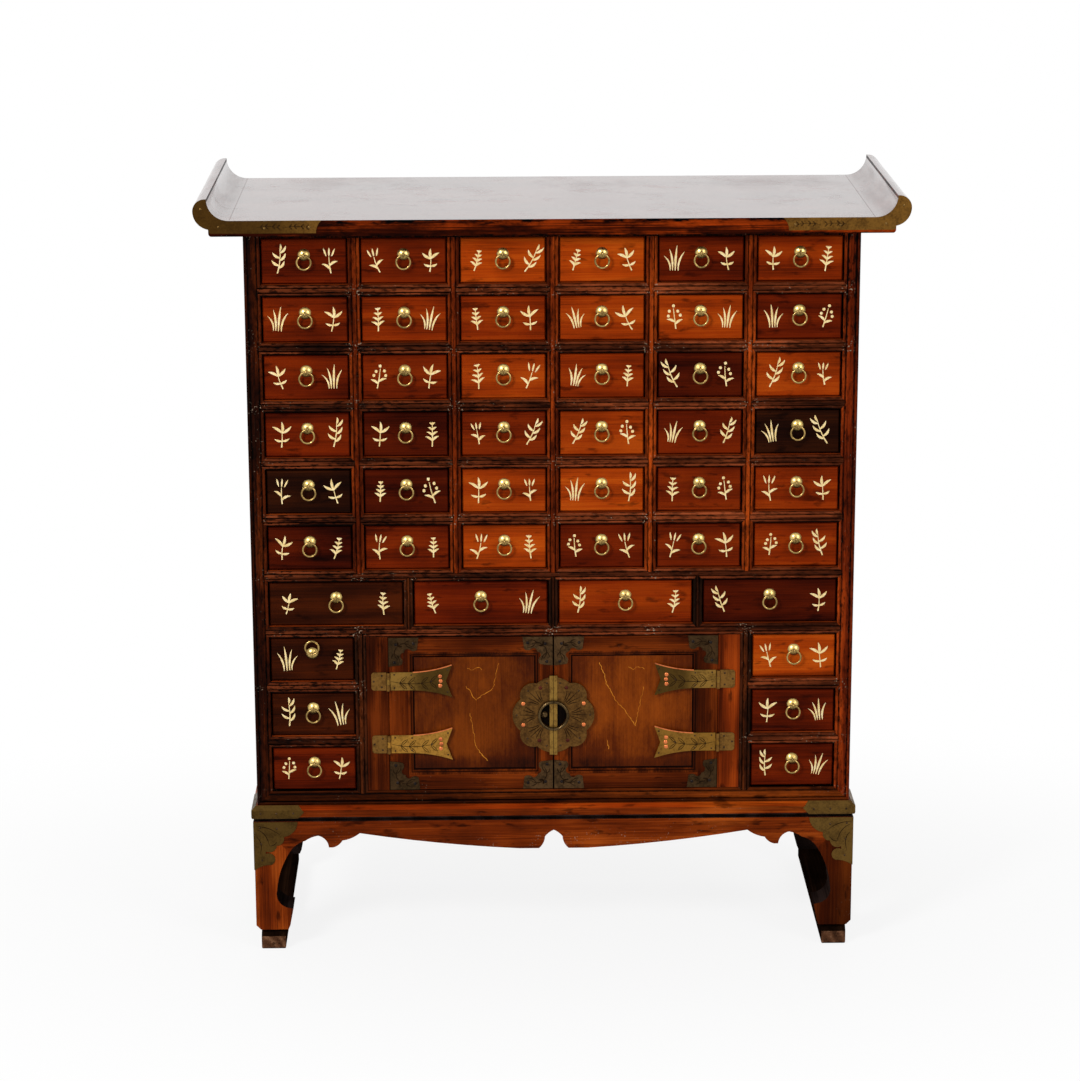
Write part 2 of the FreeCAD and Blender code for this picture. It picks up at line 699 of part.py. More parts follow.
# Doors. The left door is drawn and the right one is its mirror image.
door_stile_size = ("door_thickness", "door_height")
hinge_stile = box("hinge_stile", ("-door_outer", "door_y", "door_z"),
                  ("door_hinge_stile",) + door_stile_size)
meeting_stile = box("meeting_stile", ("-panel_inner", "door_y", "door_z"),
                    ("door_meeting_stile",) + door_stile_size)
door_rail_size = ("panel_outer - panel_inner", "door_thickness", "door_rail")
lower_rail = box("door_lower_rail", ("-panel_outer", "door_y", "door_z"), door_rail_size)
upper_rail = box("door_upper_rail", ("-panel_outer", "door_y", "panel_high"), door_rail_size)
moulding_block = box("moulding_block", ("-panel_outer", "door_y", "panel_low"),
                     ("panel_outer - panel_inner", "panel_recess", "panel_high - panel_low"))
sight = doc.addObject("Part::Wedge", "moulding_sight")
SIGHT_EDGES = {
    "Xmin": "moulding_lip - panel_outer",
    "Xmax": "-panel_inner - moulding_lip",
    "Zmin": "panel_low + moulding_lip",
    "Zmax": "panel_high - moulding_lip",
    "X2min": "moulding_width - panel_outer",
    "X2max": "-panel_inner - moulding_width",
    "Z2min": "panel_low + moulding_width",
    "Z2max": "panel_high - moulding_width",
    "Ymin": "door_y",
    "Ymax": "door_y + panel_recess",
}
for edge_name, edge_text in SIGHT_EDGES.items():
    sight.setExpression(edge_name, bound(edge_text))
moulding = cut("door_moulding", moulding_block, sight)
door_panel = box("door_panel", ("-panel_outer", "door_y + panel_recess", "panel_low"),
                 ("panel_outer - panel_inner", "panel_thickness", "panel_high - panel_low"))
door_frame = [hinge_stile, meeting_stile, lower_rail, upper_rail, moulding]
node("left_door_frame", door_frame)
node("left_door_panel", [door_panel])
node("right_door_frame", [mirrored(piece, piece.Name + "_right") for piece in door_frame])
node("right_door_panel", [mirrored(door_panel, "door_panel_right")])

# Corner plate of a door, drawn for the upper left corner with its cusped inner edge.
arm_tip = "corner_plate_arm - corner_plate_slant"
swell_at = f"({arm_tip} + corner_plate_cusp) / 2"
bite_at = "(corner_plate_cusp + corner_plate_throat) / 2"
corner_corners = [
    ("0", "0"),
    ("corner_plate_arm", "0"),
    (arm_tip, "-corner_plate_end"),
    ("corner_plate_cusp", "-corner_plate_end", swell_at, "-corner_plate_end - corner_plate_swell"),
    ("corner_plate_throat", "-corner_plate_throat", bite_at, "-corner_plate_bite"),
    ("corner_plate_end", "-corner_plate_cusp", "corner_plate_bite", f"-({bite_at})"),
    ("corner_plate_end", f"-({arm_tip})", "corner_plate_end + corner_plate_swell", f"-({swell_at})"),
    ("0", "-corner_plate_arm"),
]
upper_outer_plate = padded("corner_plate", "XZ_Plane", corner_corners, "corner_plate_thickness")
lower_outer_plate = mirrored(upper_outer_plate, "lower_outer_plate", (0, 0, 1))
upper_inner_plate = mirrored(upper_outer_plate, "upper_inner_plate")
lower_inner_plate = mirrored(lower_outer_plate, "lower_inner_plate")
door_brass = []
for plate, plate_x, plate_z in (
    (upper_outer_plate, "-door_outer", "door_top"),
    (lower_outer_plate, "-door_outer", "door_z"),
    (upper_inner_plate, "-door_inner", "door_top"),
    (lower_inner_plate, "-door_inner", "door_z"),
):
    door_brass.append(moved([plate], plate.Name + "_seated", (plate_x, "door_y", plate_z)))

# Strap hinge: a swallow-tailed strap on the door and a leaf on the jamb, with knuckles round one pin.
knuckle_end = "knuckle_half - hinge_knuckle_gap / 2"
leaf_knuckle_end = "knuckle_half + hinge_knuckle_gap / 2"
half_height = "hinge_height / 2"
tail_half = "strap_tail_height / 2"
flare_across = "(strap_straight + strap_length) / 2"
flare_up = f"({half_height} + {tail_half}) / 2 - strap_waist"
strap_corners = [
    ("0", f"-({knuckle_end})"),
    ("leaf_start", f"-({knuckle_end})"),
    ("leaf_start", f"-{half_height}"),
    ("strap_straight", f"-{half_height}"),
    ("strap_length", f"-{tail_half}", flare_across, f"-({flare_up})"),
    ("strap_length - strap_notch", "0"),
    ("strap_length", tail_half),
    ("strap_straight", half_height, flare_across, flare_up),
    ("leaf_start", half_height),
    ("leaf_start", knuckle_end),
    ("0", knuckle_end),
]
round_off = "leaf_rounding * (1 - cos(45))"
leaf_corners = [
    ("0", half_height),
    ("0", leaf_knuckle_end),
    ("-leaf_start", leaf_knuckle_end),
    ("-leaf_start", f"-({leaf_knuckle_end})"),
    ("0", f"-({leaf_knuckle_end})"),
    ("0", f"-{half_height}"),
    ("leaf_rounding - leaf_width", f"-{half_height}"),
    ("-leaf_width", f"leaf_rounding - {half_height}",
     f"{round_off} - leaf_width", f"{round_off} - {half_height}"),
    ("-leaf_width", f"{half_height} - leaf_rounding"),
    ("leaf_rounding - leaf_width", half_height,
     f"{round_off} - leaf_width", f"{half_height} - {round_off}"),
]
barrel_at = "-hinge_stand - hinge_barrel_radius"
bore = rod("hinge_bore", ("0", barrel_at, f"-{half_height}"),
           "hinge_pin_radius + hinge_pin_clearance", "hinge_height")
strap_plate = padded("strap_plate", "XZ_Plane", strap_corners, "hinge_plate")
strap_knuckle = rod("strap_knuckle", ("0", barrel_at, f"-({knuckle_end})"),
                    "hinge_barrel_radius", f"2 * ({knuckle_end})")
strap = cut("strap", fused("strap_blank", [strap_plate, strap_knuckle]), bore)
leaf_plate = padded("leaf_plate", "XZ_Plane", leaf_corners, "hinge_plate")
leaf_knuckle_length = f"{half_height} - ({leaf_knuckle_end})"
lower_knuckle = rod("leaf_lower_knuckle", ("0", barrel_at, f"-{half_height}"),
                    "hinge_barrel_radius", leaf_knuckle_length)
upper_knuckle = rod("leaf_upper_knuckle", ("0", barrel_at, leaf_knuckle_end),
                    "hinge_barrel_radius", leaf_knuckle_length)
leaf = cut("leaf", fused("leaf_blank", [leaf_plate, lower_knuckle, upper_knuckle]), bore)
hinge_pin = rod("hinge_pin", ("0", barrel_at, f"-{half_height}"), "hinge_pin_radius", "hinge_height")
jamb_brass = []
for height in ("hinge_lower_z", "hinge_upper_z"):
    hinge_at = ("-cupboard_half", "door_y", height)
    door_brass.append(moved([strap], f"strap_{height}", hinge_at))
    jamb_brass.append(moved([leaf], f"leaf_{height}", hinge_at))
    jamb_brass.append(moved([hinge_pin], f"pin_{height}", hinge_at))
node("hinge_leaves_and_pins", both_sides(jamb_brass))

# Lock plate: a disc of eight petals with a round window, parted where the doors meet. The bar and the
# round grip in front of it are parted on the same line, so that each door opens by itself.
petal_turn = 360 / LOCK_PETALS
PETAL_TIPS = ("lock_side_tip", "lock_corner_tip", "lock_end_tip", "lock_corner_tip")
lock_corners = []
for petal in range(LOCK_PETALS):
    tip = petal * petal_turn
    reach = PETAL_TIPS[petal % len(PETAL_TIPS)]
    cusp = tip + (petal_turn - LOCK_CUSP_TURN if petal % 2 else LOCK_CUSP_TURN)
    lock_corners.append((f"lock_cusp_radius * cos({cusp})", f"lock_cusp_radius * sin({cusp})",
                         f"{reach} * cos({tip})", f"{reach} * sin({tip})"))
lock_disc = place(padded("lock_disc", "XZ_Plane", lock_corners, "lock_plate_thickness"),
                  ("0", "door_y", "lock_z"))
lock_window = turned(doc.addObject("Part::Cylinder", "lock_window"), (1, 0, 0))
lock_window.setExpression("Radius", bound("lock_hole_radius"))
lock_window.setExpression("Height", bound("lock_plate_thickness"))
place(lock_window, ("0", "door_y", "lock_z"))
right_half = box("right_half", ("-lock_gap / 2", "grip_y - grip_radius", "lock_z - lock_bar_length"),
                 ("2 * lock_corner_tip", "door_y - grip_y + grip_radius", "2 * lock_bar_length"))
lock_plate = cut("lock_plate", cut("lock_collar", lock_disc, lock_window), right_half)
lock_bar = box("lock_bar", ("-lock_bar_width / 2", "lock_bar_y", "lock_z - lock_bar_length / 2"),
               ("(lock_bar_width - lock_gap) / 2", "lock_bar_thickness", "lock_bar_length"))
grip_ring = wire_ring("grip_ring", ("0", "grip_y", "lock_z"), "grip_radius", "grip_wire", (1, 0, 0))
grip = cut("grip", grip_ring, right_half)
knob = dome("knob", ("-knob_offset", "door_y + knob_sphere - knob_height", "lock_z"),
            "knob_sphere", "knob_height")
door_brass += [lock_plate, lock_bar, grip]
node("left_door_brass", door_brass + [knob])
node("right_door_brass", [mirrored(piece, piece.Name + "_right") for piece in door_brass])

# Front apron, from its mitre at the left corner along the shaped lower edge to the middle, then mirrored.
# Each corner is measured from the stand's outer edge, or from the middle, and down from the cap moulding.
apron_side = [
    ("leg_mitre", "leg_mitre"),
    ("leg_mitre + 21", "apron_arch_drop + 7", "leg_mitre + 11.5", "apron_arch_drop + 11"),
    ("leg_mitre + 38", "apron_arch_drop", "leg_mitre + 29", "apron_arch_drop + 2.5"),
    ("leg_mitre + 52", "apron_pendant_drop", "leg_mitre + 47", "apron_arch_drop + 5"),
    ("leg_mitre + 57.5", "apron_pendant_drop"),
    ("leg_mitre + 70", "apron_arch_drop + 7", "leg_mitre + 65.5", "apron_pendant_drop - 4"),
    ("leg_mitre + 93", "apron_peak_drop", "leg_mitre + 80", "apron_arch_drop + 4.5"),
]
apron_middle = [
    ("apron_notch_half + 26", "apron_belly_drop", "(stand_half - leg_mitre) * 0.58", "apron_peak_drop + 8"),
    ("apron_notch_half", "apron_belly_drop"),
    ("apron_notch_half - 8", "apron_notch_drop + 9", "apron_notch_half - 5", "apron_belly_drop - 6"),
    ("0", "apron_notch_drop", "apron_notch_half - 13", "apron_notch_drop + 4"),
]


def apron_half(sign):
    """The lower edge of one half of the apron, from the mitre to the middle."""
    half = []
    for corner in apron_side:
        across = [f"{sign}({text} - stand_half)" for text in corner[0::2]]
        drops = [f"-({text})" for text in corner[1::2]]
        half.append(tuple(text for pair in zip(across, drops) for text in pair))
    for corner in apron_middle:
        across = [f"-{sign}({text})" for text in corner[0::2]]
        drops = [f"-({text})" for text in corner[1::2]]
        half.append(tuple(text for pair in zip(across, drops) for text in pair))
    return half


def backwards(corners):
    """The same outline from its other end: each arc's middle goes with the corner it now leads to."""
    walked = [corners[-1][:2]]
    for index in range(len(corners) - 1, 0, -1):
        walked.append(corners[index - 1][:2] + corners[index][2:])
    return walked


apron_corners = [("-stand_half", "0")] + apron_half("+")
apron_corners += backwards(apron_half("-"))[1:] + [("stand_half", "0")]
apron_board = place(padded("apron_board", "XZ_Plane", apron_corners, "apron_thickness"),
                    ("0", "stand_y + apron_thickness", "cap_z"))

# A shallow groove runs round the front and sides of the stand, right under its cap moulding.
groove_z = "cap_z - stand_reveal"
groove_outside = box("groove_outside", ("-cap_half", "cap_y", groove_z),
                     ("2 * cap_half", "back_y - cap_y", "stand_reveal"))
groove_inside = box("groove_inside",
                    ("stand_reveal_depth - stand_half", "stand_y + stand_reveal_depth", groove_z),
                    ("2 * (stand_half - stand_reveal_depth)", "back_y - stand_y", "stand_reveal"))
groove = cut("groove", groove_outside, groove_inside)
front_apron = cut("front_apron", apron_board, groove)

# Leg: a foot that swells at the toe, a hollow neck and a shoulder that the apron's mitre is let into.
toe = "runner_height + leg_toe_height"
leg_corners = [
    ("0", "runner_height + leg_foot_chamfer"),
    ("leg_foot_chamfer", "runner_height"),
    ("leg_foot_width - leg_foot_tuck", "runner_height"),
    ("leg_foot_width", "runner_height + leg_foot_chamfer"),
    ("leg_toe_width", toe),
    ("leg_toe_width - 9", f"{toe} + 2"),
    ("leg_neck_width", "runner_height + leg_neck_height", "leg_neck_width + 3", f"{toe} + 9"),
    ("leg_mitre", "cap_z - leg_mitre", "leg_neck_width + 6", "cap_z - leg_mitre - 24"),
    ("leg_mitre", "cap_z"),
    ("0", "cap_z"),
]
leg_blank = place(padded("leg_blank", "XZ_Plane", leg_corners, "leg_depth"),
                  ("leg_x", "stand_y + leg_depth", "0"))
front_leg = cut("front_leg", cut("shouldered_leg", leg_blank, apron_board), groove)
back_leg_blank = moved([leg_blank], "back_leg_blank", ("0", "stand_depth - leg_depth", "0"))
back_leg = cut("back_leg", back_leg_blank, groove)
back_apron = box("back_apron", ("leg_x + leg_mitre", "back_y - apron_thickness", "cap_z - side_apron_drop"),
                 ("2 * (stand_half - leg_mitre)", "apron_thickness", "side_apron_drop"))
side_apron_corners = [
    ("stand_y + leg_depth", "0"),
    ("stand_y + leg_depth", "-side_apron_drop"),
    ("back_y - leg_depth", "-side_apron_drop", "(stand_y + back_y) / 2", "side_apron_arch - side_apron_drop"),
    ("back_y - leg_depth", "0"),
]
side_board = place(padded("side_board", "YZ_Plane", side_apron_corners, "side_apron_thickness"),
                   ("leg_x", "0", "cap_z"))
side_apron = cut("side_apron", side_board, groove)


def cap_form(name, margin):
    """The cap moulding as one board, bevelled above and rounded below, or larger all round by a margin."""
    half = f"cap_half + {margin}"
    corners = [
        (f"-({half})", f"cap_y - {margin}"),
        (half, f"cap_y - {margin}"),
        (half, f"back_y + {margin}"),
        (f"-({half})", f"back_y + {margin}"),
    ]
    board = padded(name, "XY_Plane", corners, f"cap_thickness + 2 * {margin}")
    doc.recompute()
    slab = board.Tip
    rounding = board.newObject("PartDesign::Fillet", name + "_rounding")
    rounding.Base = (slab, [outer_face(slab, (0, 0, -1))])
    rounding.setExpression("Radius", bound(f"cap_rounding + {margin}"))
    doc.recompute()
    bevel = board.newObject("PartDesign::Chamfer", name + "_bevel")
    bevel.Base = (rounding, [outer_face(rounding, (0, 0, 1))])
    bevel.setExpression("Size", bound(f"cap_bevel + (2 - sqrt(2)) * {margin}"))
    return place(board, ("0", "0", f"cap_z - {margin}"))


# Cap moulding: four rounded rails, mitred at the corners.
cap_board = cap_form("cap_board", "0")
cap_inner = "cap_half - cap_rail_width"
front_rail_plan = [
    ("-cap_half", "cap_y"),
    ("cap_half", "cap_y"),
    (cap_inner, "cap_y + cap_rail_width"),
    (f"-({cap_inner})", "cap_y + cap_rail_width"),
]
back_rail_plan = [
    ("-cap_half", "back_y"),
    (f"-({cap_inner})", "back_y - cap_rail_width"),
    (cap_inner, "back_y - cap_rail_width"),
    ("cap_half", "back_y"),
]
side_rail_plan = [
    ("-cap_half", "cap_y"),
    (f"-({cap_inner})", "cap_y + cap_rail_width"),
    (f"-({cap_inner})", "back_y - cap_rail_width"),
    ("-cap_half", "back_y"),
]
cap_rails = []
for plan_name, plan in (("front", front_rail_plan), ("back", back_rail_plan), ("side", side_rail_plan)):
    blank = place(padded(f"cap_{plan_name}_blank", "XY_Plane", plan, "cap_thickness"), ("0", "0", "cap_z"))
    cap_rails.append(common(f"cap_{plan_name}_rail", cap_board, blank))
cap_rails.append(mirrored(cap_rails[-1], "cap_side_rail_right"))
legs = both_sides([front_leg, back_leg, side_apron])
node("stand_frame", legs + [front_apron, back_apron] + cap_rails)

runner_plan = [
    ("stand_y + runner_setback", "0"),
    ("back_y", "0"),
    ("back_y", "runner_height - runner_chamfer"),
    ("back_y - runner_chamfer", "runner_height"),
    ("stand_y + runner_setback + runner_chamfer", "runner_height"),
    ("stand_y + runner_setback", "runner_height - runner_chamfer"),
]
left_runner = padded("runner", "YZ_Plane", runner_plan, "runner_width")
doc.recompute()
runner_slab = left_runner.Tip
runner_edge = left_runner.newObject("PartDesign::Fillet", "runner_edge")
runner_edge.Base = (runner_slab, [outer_face(runner_slab, (0, 0, -1))])
runner_edge.setExpression("Radius", bound("runner_rounding"))
place(left_runner, ("leg_x + (leg_foot_width - runner_width) / 2", "0", "0"))
node("stand_runners", both_sides([left_runner]))

# Brass on the body: scroll end plates, wraps on the cap's corners and cloud brackets on the front legs.
plate_depth = "top_thickness - end_plate_margin"
end_plate_corners = [("0", "0")] + scroll_curve + lip_corner(plate_depth) + [
    ("end_plate_slant - end_plate_run", f"-({plate_depth})"),
    ("-end_plate_run", "0", "end_plate_curl - end_plate_run", f"-({plate_depth}) / 2"),
]
end_plate = place(padded("end_plate", "XZ_Plane", end_plate_corners, "end_plate_thickness"),
                  ("crease_x", "end_plate_thickness - top_depth / 2", "top_surface"))
cap_sheath = cut("cap_sheath", cap_form("cap_sheath_form", "cap_brass"), cap_board)
wrap_end = "cap_brass_run - cap_brass_point"
wrap_top = "cap_thickness + 2 * cap_brass"
wrap_corners = [
    ("0", "cap_brass_skirt"),
    (wrap_end, "cap_brass_skirt"),
    ("cap_brass_run", f"(cap_brass_skirt + {wrap_top}) / 2"),
    (wrap_end, wrap_top),
    ("0", wrap_top),
]
wrap_depth = "cap_rounding + cap_brass"
front_zone = place(padded("front_wrap_zone", "XZ_Plane", wrap_corners, wrap_depth),
                   ("-cap_half - cap_brass", "cap_y + cap_rounding", "cap_z"))
side_zone = place(padded("side_wrap_zone", "YZ_Plane", wrap_corners, wrap_depth),
                  ("-cap_half - cap_brass", "cap_y - cap_brass", "cap_z"))
cap_wrap = common("cap_wrap", cap_sheath, fused("wrap_zone", [front_zone, side_zone]))
bracket_corners = [
    ("0", "0"),
    ("57.5", "0"),
    ("39", "-20.5", "53", "-12.5"),
    ("29.5", "-32.5", "38.5", "-27"),
    ("15", "-40.5", "27", "-38.5"),
    ("14.5", "-44.5"),
    ("21.5", "-59.5", "27", "-50.5"),
    ("0", "-66.5", "12", "-60.5"),
]
front_bracket = place(padded("front_bracket", "XZ_Plane", bracket_corners, "bracket_thickness"),
                      ("leg_x", "stand_y", "cap_z - bracket_gap"))
side_bracket = place(padded("side_bracket", "YZ_Plane", bracket_corners, "bracket_thickness"),
                     ("leg_x - bracket_thickness", "stand_y", "cap_z - bracket_gap"))
node("brass_mounts", both_sides([cap_wrap, front_bracket, side_bracket, end_plate]))

doc.recompute()
faults = [piece.Label for piece in doc.Objects if {"Invalid", "Error"} & set(piece.State)]
for group in NODES:
    if group.Shape.isNull() or not group.Shape.isValid() or not group.Shape.Solids:
        faults.append(group.Label)
if faults:
    raise RuntimeError("these pieces did not build: " + ", ".join(faults))

os.makedirs("parts", exist_ok=True)
for group in NODES:
    group.Shape.exportStep(f"parts/{group.Label}.step")
print(len(NODES), "nodes,", sum(len(group.Shape.Solids) for group in NODES), "solids")
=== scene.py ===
# %% [markdown]
# # A medicine chest in lacquer and brass
# This lesson dresses a finished CAD model. The joiner's work, such as drawers, doors, frame and stand, is
# already there with its true sizes, so nothing here moves it. What is added is what a finisher adds: lacquer,
# grain, brass, engraving, nails and paint. The model is loaded first.

# %% Load the frame
import math
import random

import bmesh
import bpy
from mathutils import Matrix, Vector


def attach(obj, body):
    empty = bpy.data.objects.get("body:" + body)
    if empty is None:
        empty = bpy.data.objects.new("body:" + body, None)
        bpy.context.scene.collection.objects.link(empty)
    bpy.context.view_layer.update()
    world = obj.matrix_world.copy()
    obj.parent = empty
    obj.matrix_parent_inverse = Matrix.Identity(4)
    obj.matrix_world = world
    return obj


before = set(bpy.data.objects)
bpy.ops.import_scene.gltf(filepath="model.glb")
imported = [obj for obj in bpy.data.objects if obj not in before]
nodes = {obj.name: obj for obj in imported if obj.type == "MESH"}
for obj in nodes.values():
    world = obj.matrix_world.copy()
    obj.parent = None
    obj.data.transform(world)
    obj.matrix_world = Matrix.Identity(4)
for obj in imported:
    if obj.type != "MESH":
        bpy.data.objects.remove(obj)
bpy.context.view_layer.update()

# %% [markdown]
# ## Shader sums
# A finish is a sum of small patterns, so it reads best as a sum. `Socket` wraps an output of a shader node,
# and adding or multiplying it makes the Math node.

# %% A socket that can be used in sums
class Socket:
    """An output of a shader node that takes part in Python sums."""

    def __init__(self, finish, output):
        self.finish = finish
        self.output = output

    def math(self, operation, *values):
        return self.finish.add("Math", {"operation": operation}, dict(enumerate(values)))

    def __add__(self, other):
        return self.math("ADD", self, other)

    def __sub__(self, other):
        return self.math("SUBTRACT", self, other)

    def __rsub__(self, other):
        return self.math("SUBTRACT", other, self)

    def __mul__(self, other):
        return self.math("MULTIPLY", self, other)

    __radd__ = __add__
    __rmul__ = __mul__

    def sine(self):
        return self.math("SINE", self)

    def size(self):
        return self.math("ABSOLUTE", self)

    def capped(self):
        return self.math("MINIMUM", self, 1.0)

    def swing(self, half):
        """How far a value lies from the nearest even multiple of a half pitch."""
        return self.math("PINGPONG", self, half)

    def repeat(self, pitch):
        """The same value again after each pitch, counted from 0."""
        return self.math("MODULO", self, pitch)

    def between(self, low, high):
        """0 at low, 1 at high, and a smooth step from one to the other. It falls where low is the larger."""
        return self.finish.add("MapRange", {"interpolation_type": "SMOOTHSTEP"},
                               {"Value": self, "From Min": low, "From Max": high})


print("sockets ready")

# %% [markdown]
# `Finish` holds a material and has one method that adds any node. Colours never go through Math, which would
# turn them grey: `mix` blends them.

# %% A material under construction
AXES = {"x": (1.0, 0.0, 0.0), "y": (0.0, 1.0, 0.0), "z": (0.0, 0.0, 1.0)}


class Finish:
    """A material under construction, and the Principled shader that its patterns feed."""

    def __init__(self, name, constants):
        self.material = bpy.data.materials.new(name)
        self.material.use_nodes = True
        self.tree = self.material.node_tree
        self.shader = self.tree.nodes["Principled BSDF"]
        self.feed(constants)

    def add(self, kind, settings, sockets, out=0):
        """Any shader node: its settings come first, then the values or links of its sockets."""
        node = self.tree.nodes.new("ShaderNode" + kind)
        for key, value in settings.items():
            if key == "stops":
                ramp = node.color_ramp.elements
                while len(ramp) < len(value):
                    ramp.new(0.5)
                for stop, (position, colour) in zip(ramp, value):
                    stop.position = position
                    stop.color = (*colour, 1.0)
            else:
                setattr(node, key, value)
        for key, value in sockets.items():
            self.link(node.inputs[key], value)
        return Socket(self, node.outputs[out])

    def link(self, socket, value):
        if isinstance(value, Socket):
            self.tree.links.new(value.output, socket)
        elif socket.type == "RGBA" and len(value) == 3:
            socket.default_value = (*value, 1.0)
        else:
            socket.default_value = value

    def feed(self, sockets):
        for key, value in sockets.items():
            self.link(self.shader.inputs[key], value)

    def place(self, stretch=(1.0, 1.0, 1.0), shift=(0.0, 0.0, 0.0)):
        """Where a point lies on the piece, in metres, squeezed or stretched along the axes."""
        spot = self.add("TexCoord", {}, {}, "Object")
        return self.add("VectorMath", {"operation": "MULTIPLY_ADD"}, {0: spot, 1: stretch, 2: shift})

    def along(self, direction):
        """How far a point lies along an axis, or along any other direction, in metres."""
        spot = self.add("TexCoord", {}, {}, "Object")
        return self.add("VectorMath", {"operation": "DOT_PRODUCT"},
                        {0: spot, 1: AXES.get(direction, direction)}, "Value")

    def noise(self, scale, stretch=(1.0, 1.0, 1.0), detail=3.0, roughness=0.55, distortion=0.0,
              shift=(0.0, 0.0, 0.0)):
        """Cloudy patches, so many to a metre."""
        return self.add("TexNoise", {}, {
            "Vector": self.place(stretch, shift), "Scale": scale, "Detail": detail, "Roughness": roughness,
            "Distortion": distortion})

    def mix(self, factor, first, second):
        return self.add("Mix", {"data_type": "RGBA"}, {0: factor, 6: first, 7: second}, 2)

    def ramp(self, value, positions, colours):
        return self.add("ValToRGB", {"stops": list(zip(positions, colours))}, {"Fac": value})

    def bump(self, height, strength, distance):
        return self.add("Bump", {}, {"Height": height, "Strength": strength, "Distance": distance},
                        "Normal")


print("finishes ready")

# %% [markdown]
# ## Lacquered wood
# The chest is a red-brown hardwood under a clear, worn lacquer. Three scales make it read as wood: clouds of
# tone across a board, growth rings that wander along it, and fine fibres. All three come from the same noise,
# drawn out along the grain by different amounts or not at all. Dark heartwood streaks and blots lie over
# them. A photograph of wood could give the figure at once, but it would not follow each board around its
# corner, as a solid pattern does. Where dirt gathers and where painted shade falls depends on the piece, so a
# finish can be given a `shade` that says where it is black.

# %% The wood recipe
LONG, FIBRE, BLOT = 0.07, 0.015, 0.3
ACROSS = {"x": (0.0, 0.6, 1.0), "y": (1.0, 0.0, 0.6), "z": (1.0, 0.6, 0.0)}
TONE_STOPS = (0.18, 0.45, 0.72)
BLACKENED = 0.12
CHIP = (0.3, 0.22, 0.15)


def drawn(grain, share):
    """A scale for each axis that draws a pattern out along the grain: a small share makes it long."""
    return tuple(share if axis == grain else 1.0 for axis in "xyz")


def wood(name, grain, tones, streaks, rings=150.0, gloss=0.018, coat=0.0, rough=0.34, specks=0.0, shade=None,
         knocks=None, dull=None):
    """Lacquered wood whose grain runs along an axis, from a dark, a middle and a light tone."""
    finish = Finish(name, {"Specular IOR Level": gloss, "Coat Weight": coat, "Coat Roughness": 0.06,
                           "Coat IOR": 1.7})
    board, fibre, blot = (drawn(grain, share) for share in (LONG, FIBRE, BLOT))
    wander = finish.noise(11.0, board, 3.0, 0.5, 0.4)
    clouds = finish.noise(8.0)
    fibres = finish.noise(620.0, fibre, 3.0, 0.6)
    growth = (finish.along(ACROSS[grain]) * rings + wander * 26.0).sine() * 0.5 + 0.5
    figure = finish.noise(30.0, blot)
    tone = clouds * 0.62 + figure * 0.4 + growth * 0.22 + fibres * 0.6 - 0.44
    colour = finish.ramp(tone, TONE_STOPS, tones)
    heart = finish.noise(34.0, board, 5.0, 0.62, 0.7).between(0.54, 0.72)
    blots = finish.noise(85.0, blot, 3.0, 0.6).between(0.57, 0.7)
    pores = finish.noise(1500.0, fibre, 2.0).between(0.58, 0.75)
    worn = finish.noise(15.0, detail=4.0, roughness=0.7).between(0.5, 0.75)
    # Heart streaks, blots and pores darken the wood itself; a shade, where given, adds dirt or painted shade.
    dirt_and_shade = [heart * streaks, blots * streaks, pores * 0.35]
    if shade:
        dirt_and_shade.append(shade(finish))
    for mask in dirt_and_shade:
        colour = finish.mix(mask, colour, tuple(value * BLACKENED for value in tones[0]))
    if specks:
        chips = finish.noise(380.0, detail=2.0)
        pale = chips.between(0.67, 0.71) * worn
        if knocks:
            scratches = finish.noise(520.0, fibre, 4.0, 0.7).between(0.62, 0.72)
            pale = pale + chips.between(0.61, 0.67) * knocks(finish) + scratches * worn * 0.35
        colour = finish.mix((pale * specks).capped(), colour, CHIP)
    finish.feed({
        "Base Color": colour,
        "Roughness": worn * 0.16 + fibres * 0.1 + (rough - 0.1),
        "Normal": finish.bump(fibres + pores * -0.6, 0.1, 0.0006),
    })
    if dull:
        finish.feed({"Coat Weight": (1 - dull(finish)) * coat})
    return finish.material


print("wood recipe ready")

# %% [markdown]
# ## Sorting a node's faces
# One CAD node can hold boards whose grain runs different ways: the front frame has uprights and rails, the
# stand has legs and aprons. Cutting the mesh apart would change the joiner's work, so a rule looks at each
# face instead, at its middle and at the way it faces, and says which finish it wears.

# %% Finishes by rule
SQUARE = 0.9


def dress(node, finishes, rule=None):
    """Give a node its finishes. The rule takes a face's middle and normal and returns what it wears."""
    mesh = nodes[node].data
    mesh.materials.clear()
    for finish in finishes:
        mesh.materials.append(finish)
    if rule:
        order = {finish: index for index, finish in enumerate(finishes)}
        for face in mesh.polygons:
            face.material_index = order[rule(face.center, face.normal)]


print("rules ready for", len(nodes), "nodes")

# %% [markdown]
# ## Body and top
# The top is one glossy board with scroll ends, and it mirrors the room. The sides and back are plain
# lacquered panels, and the inside is bare. The grain runs along the top and up the sides, as a joiner would
# lay it. Gloss comes from a clear coat over the wood, and dust takes the coat away in places.

# %% Carcass and top
SEAM = 0.4042
TOP_FOOT = (0.9585, 0.9625)
TOP_ARRIS = (0.967, 0.978)
TOP_SLOPE = 0.12


def top_dust(finish):
    """The mirror of the top is broken along two seams, and dimmed by dust on the board and in the scrolls."""
    side = finish.along("x").size()
    seam = 1 - (side - SEAM).size().between(0.0003, 0.0011)
    film = finish.noise(9.0, drawn("y", 0.5), 4.0, 0.6).between(0.5, 0.72)
    smudge = film * finish.along("y").between(0.02, 0.12)
    streaks = finish.noise(70.0, drawn("y", 0.12)).between(0.4, 0.66) * side.between(0.404, 0.412)
    return seam * 0.6 + film * 0.06 + smudge * 0.22 + streaks * 0.3


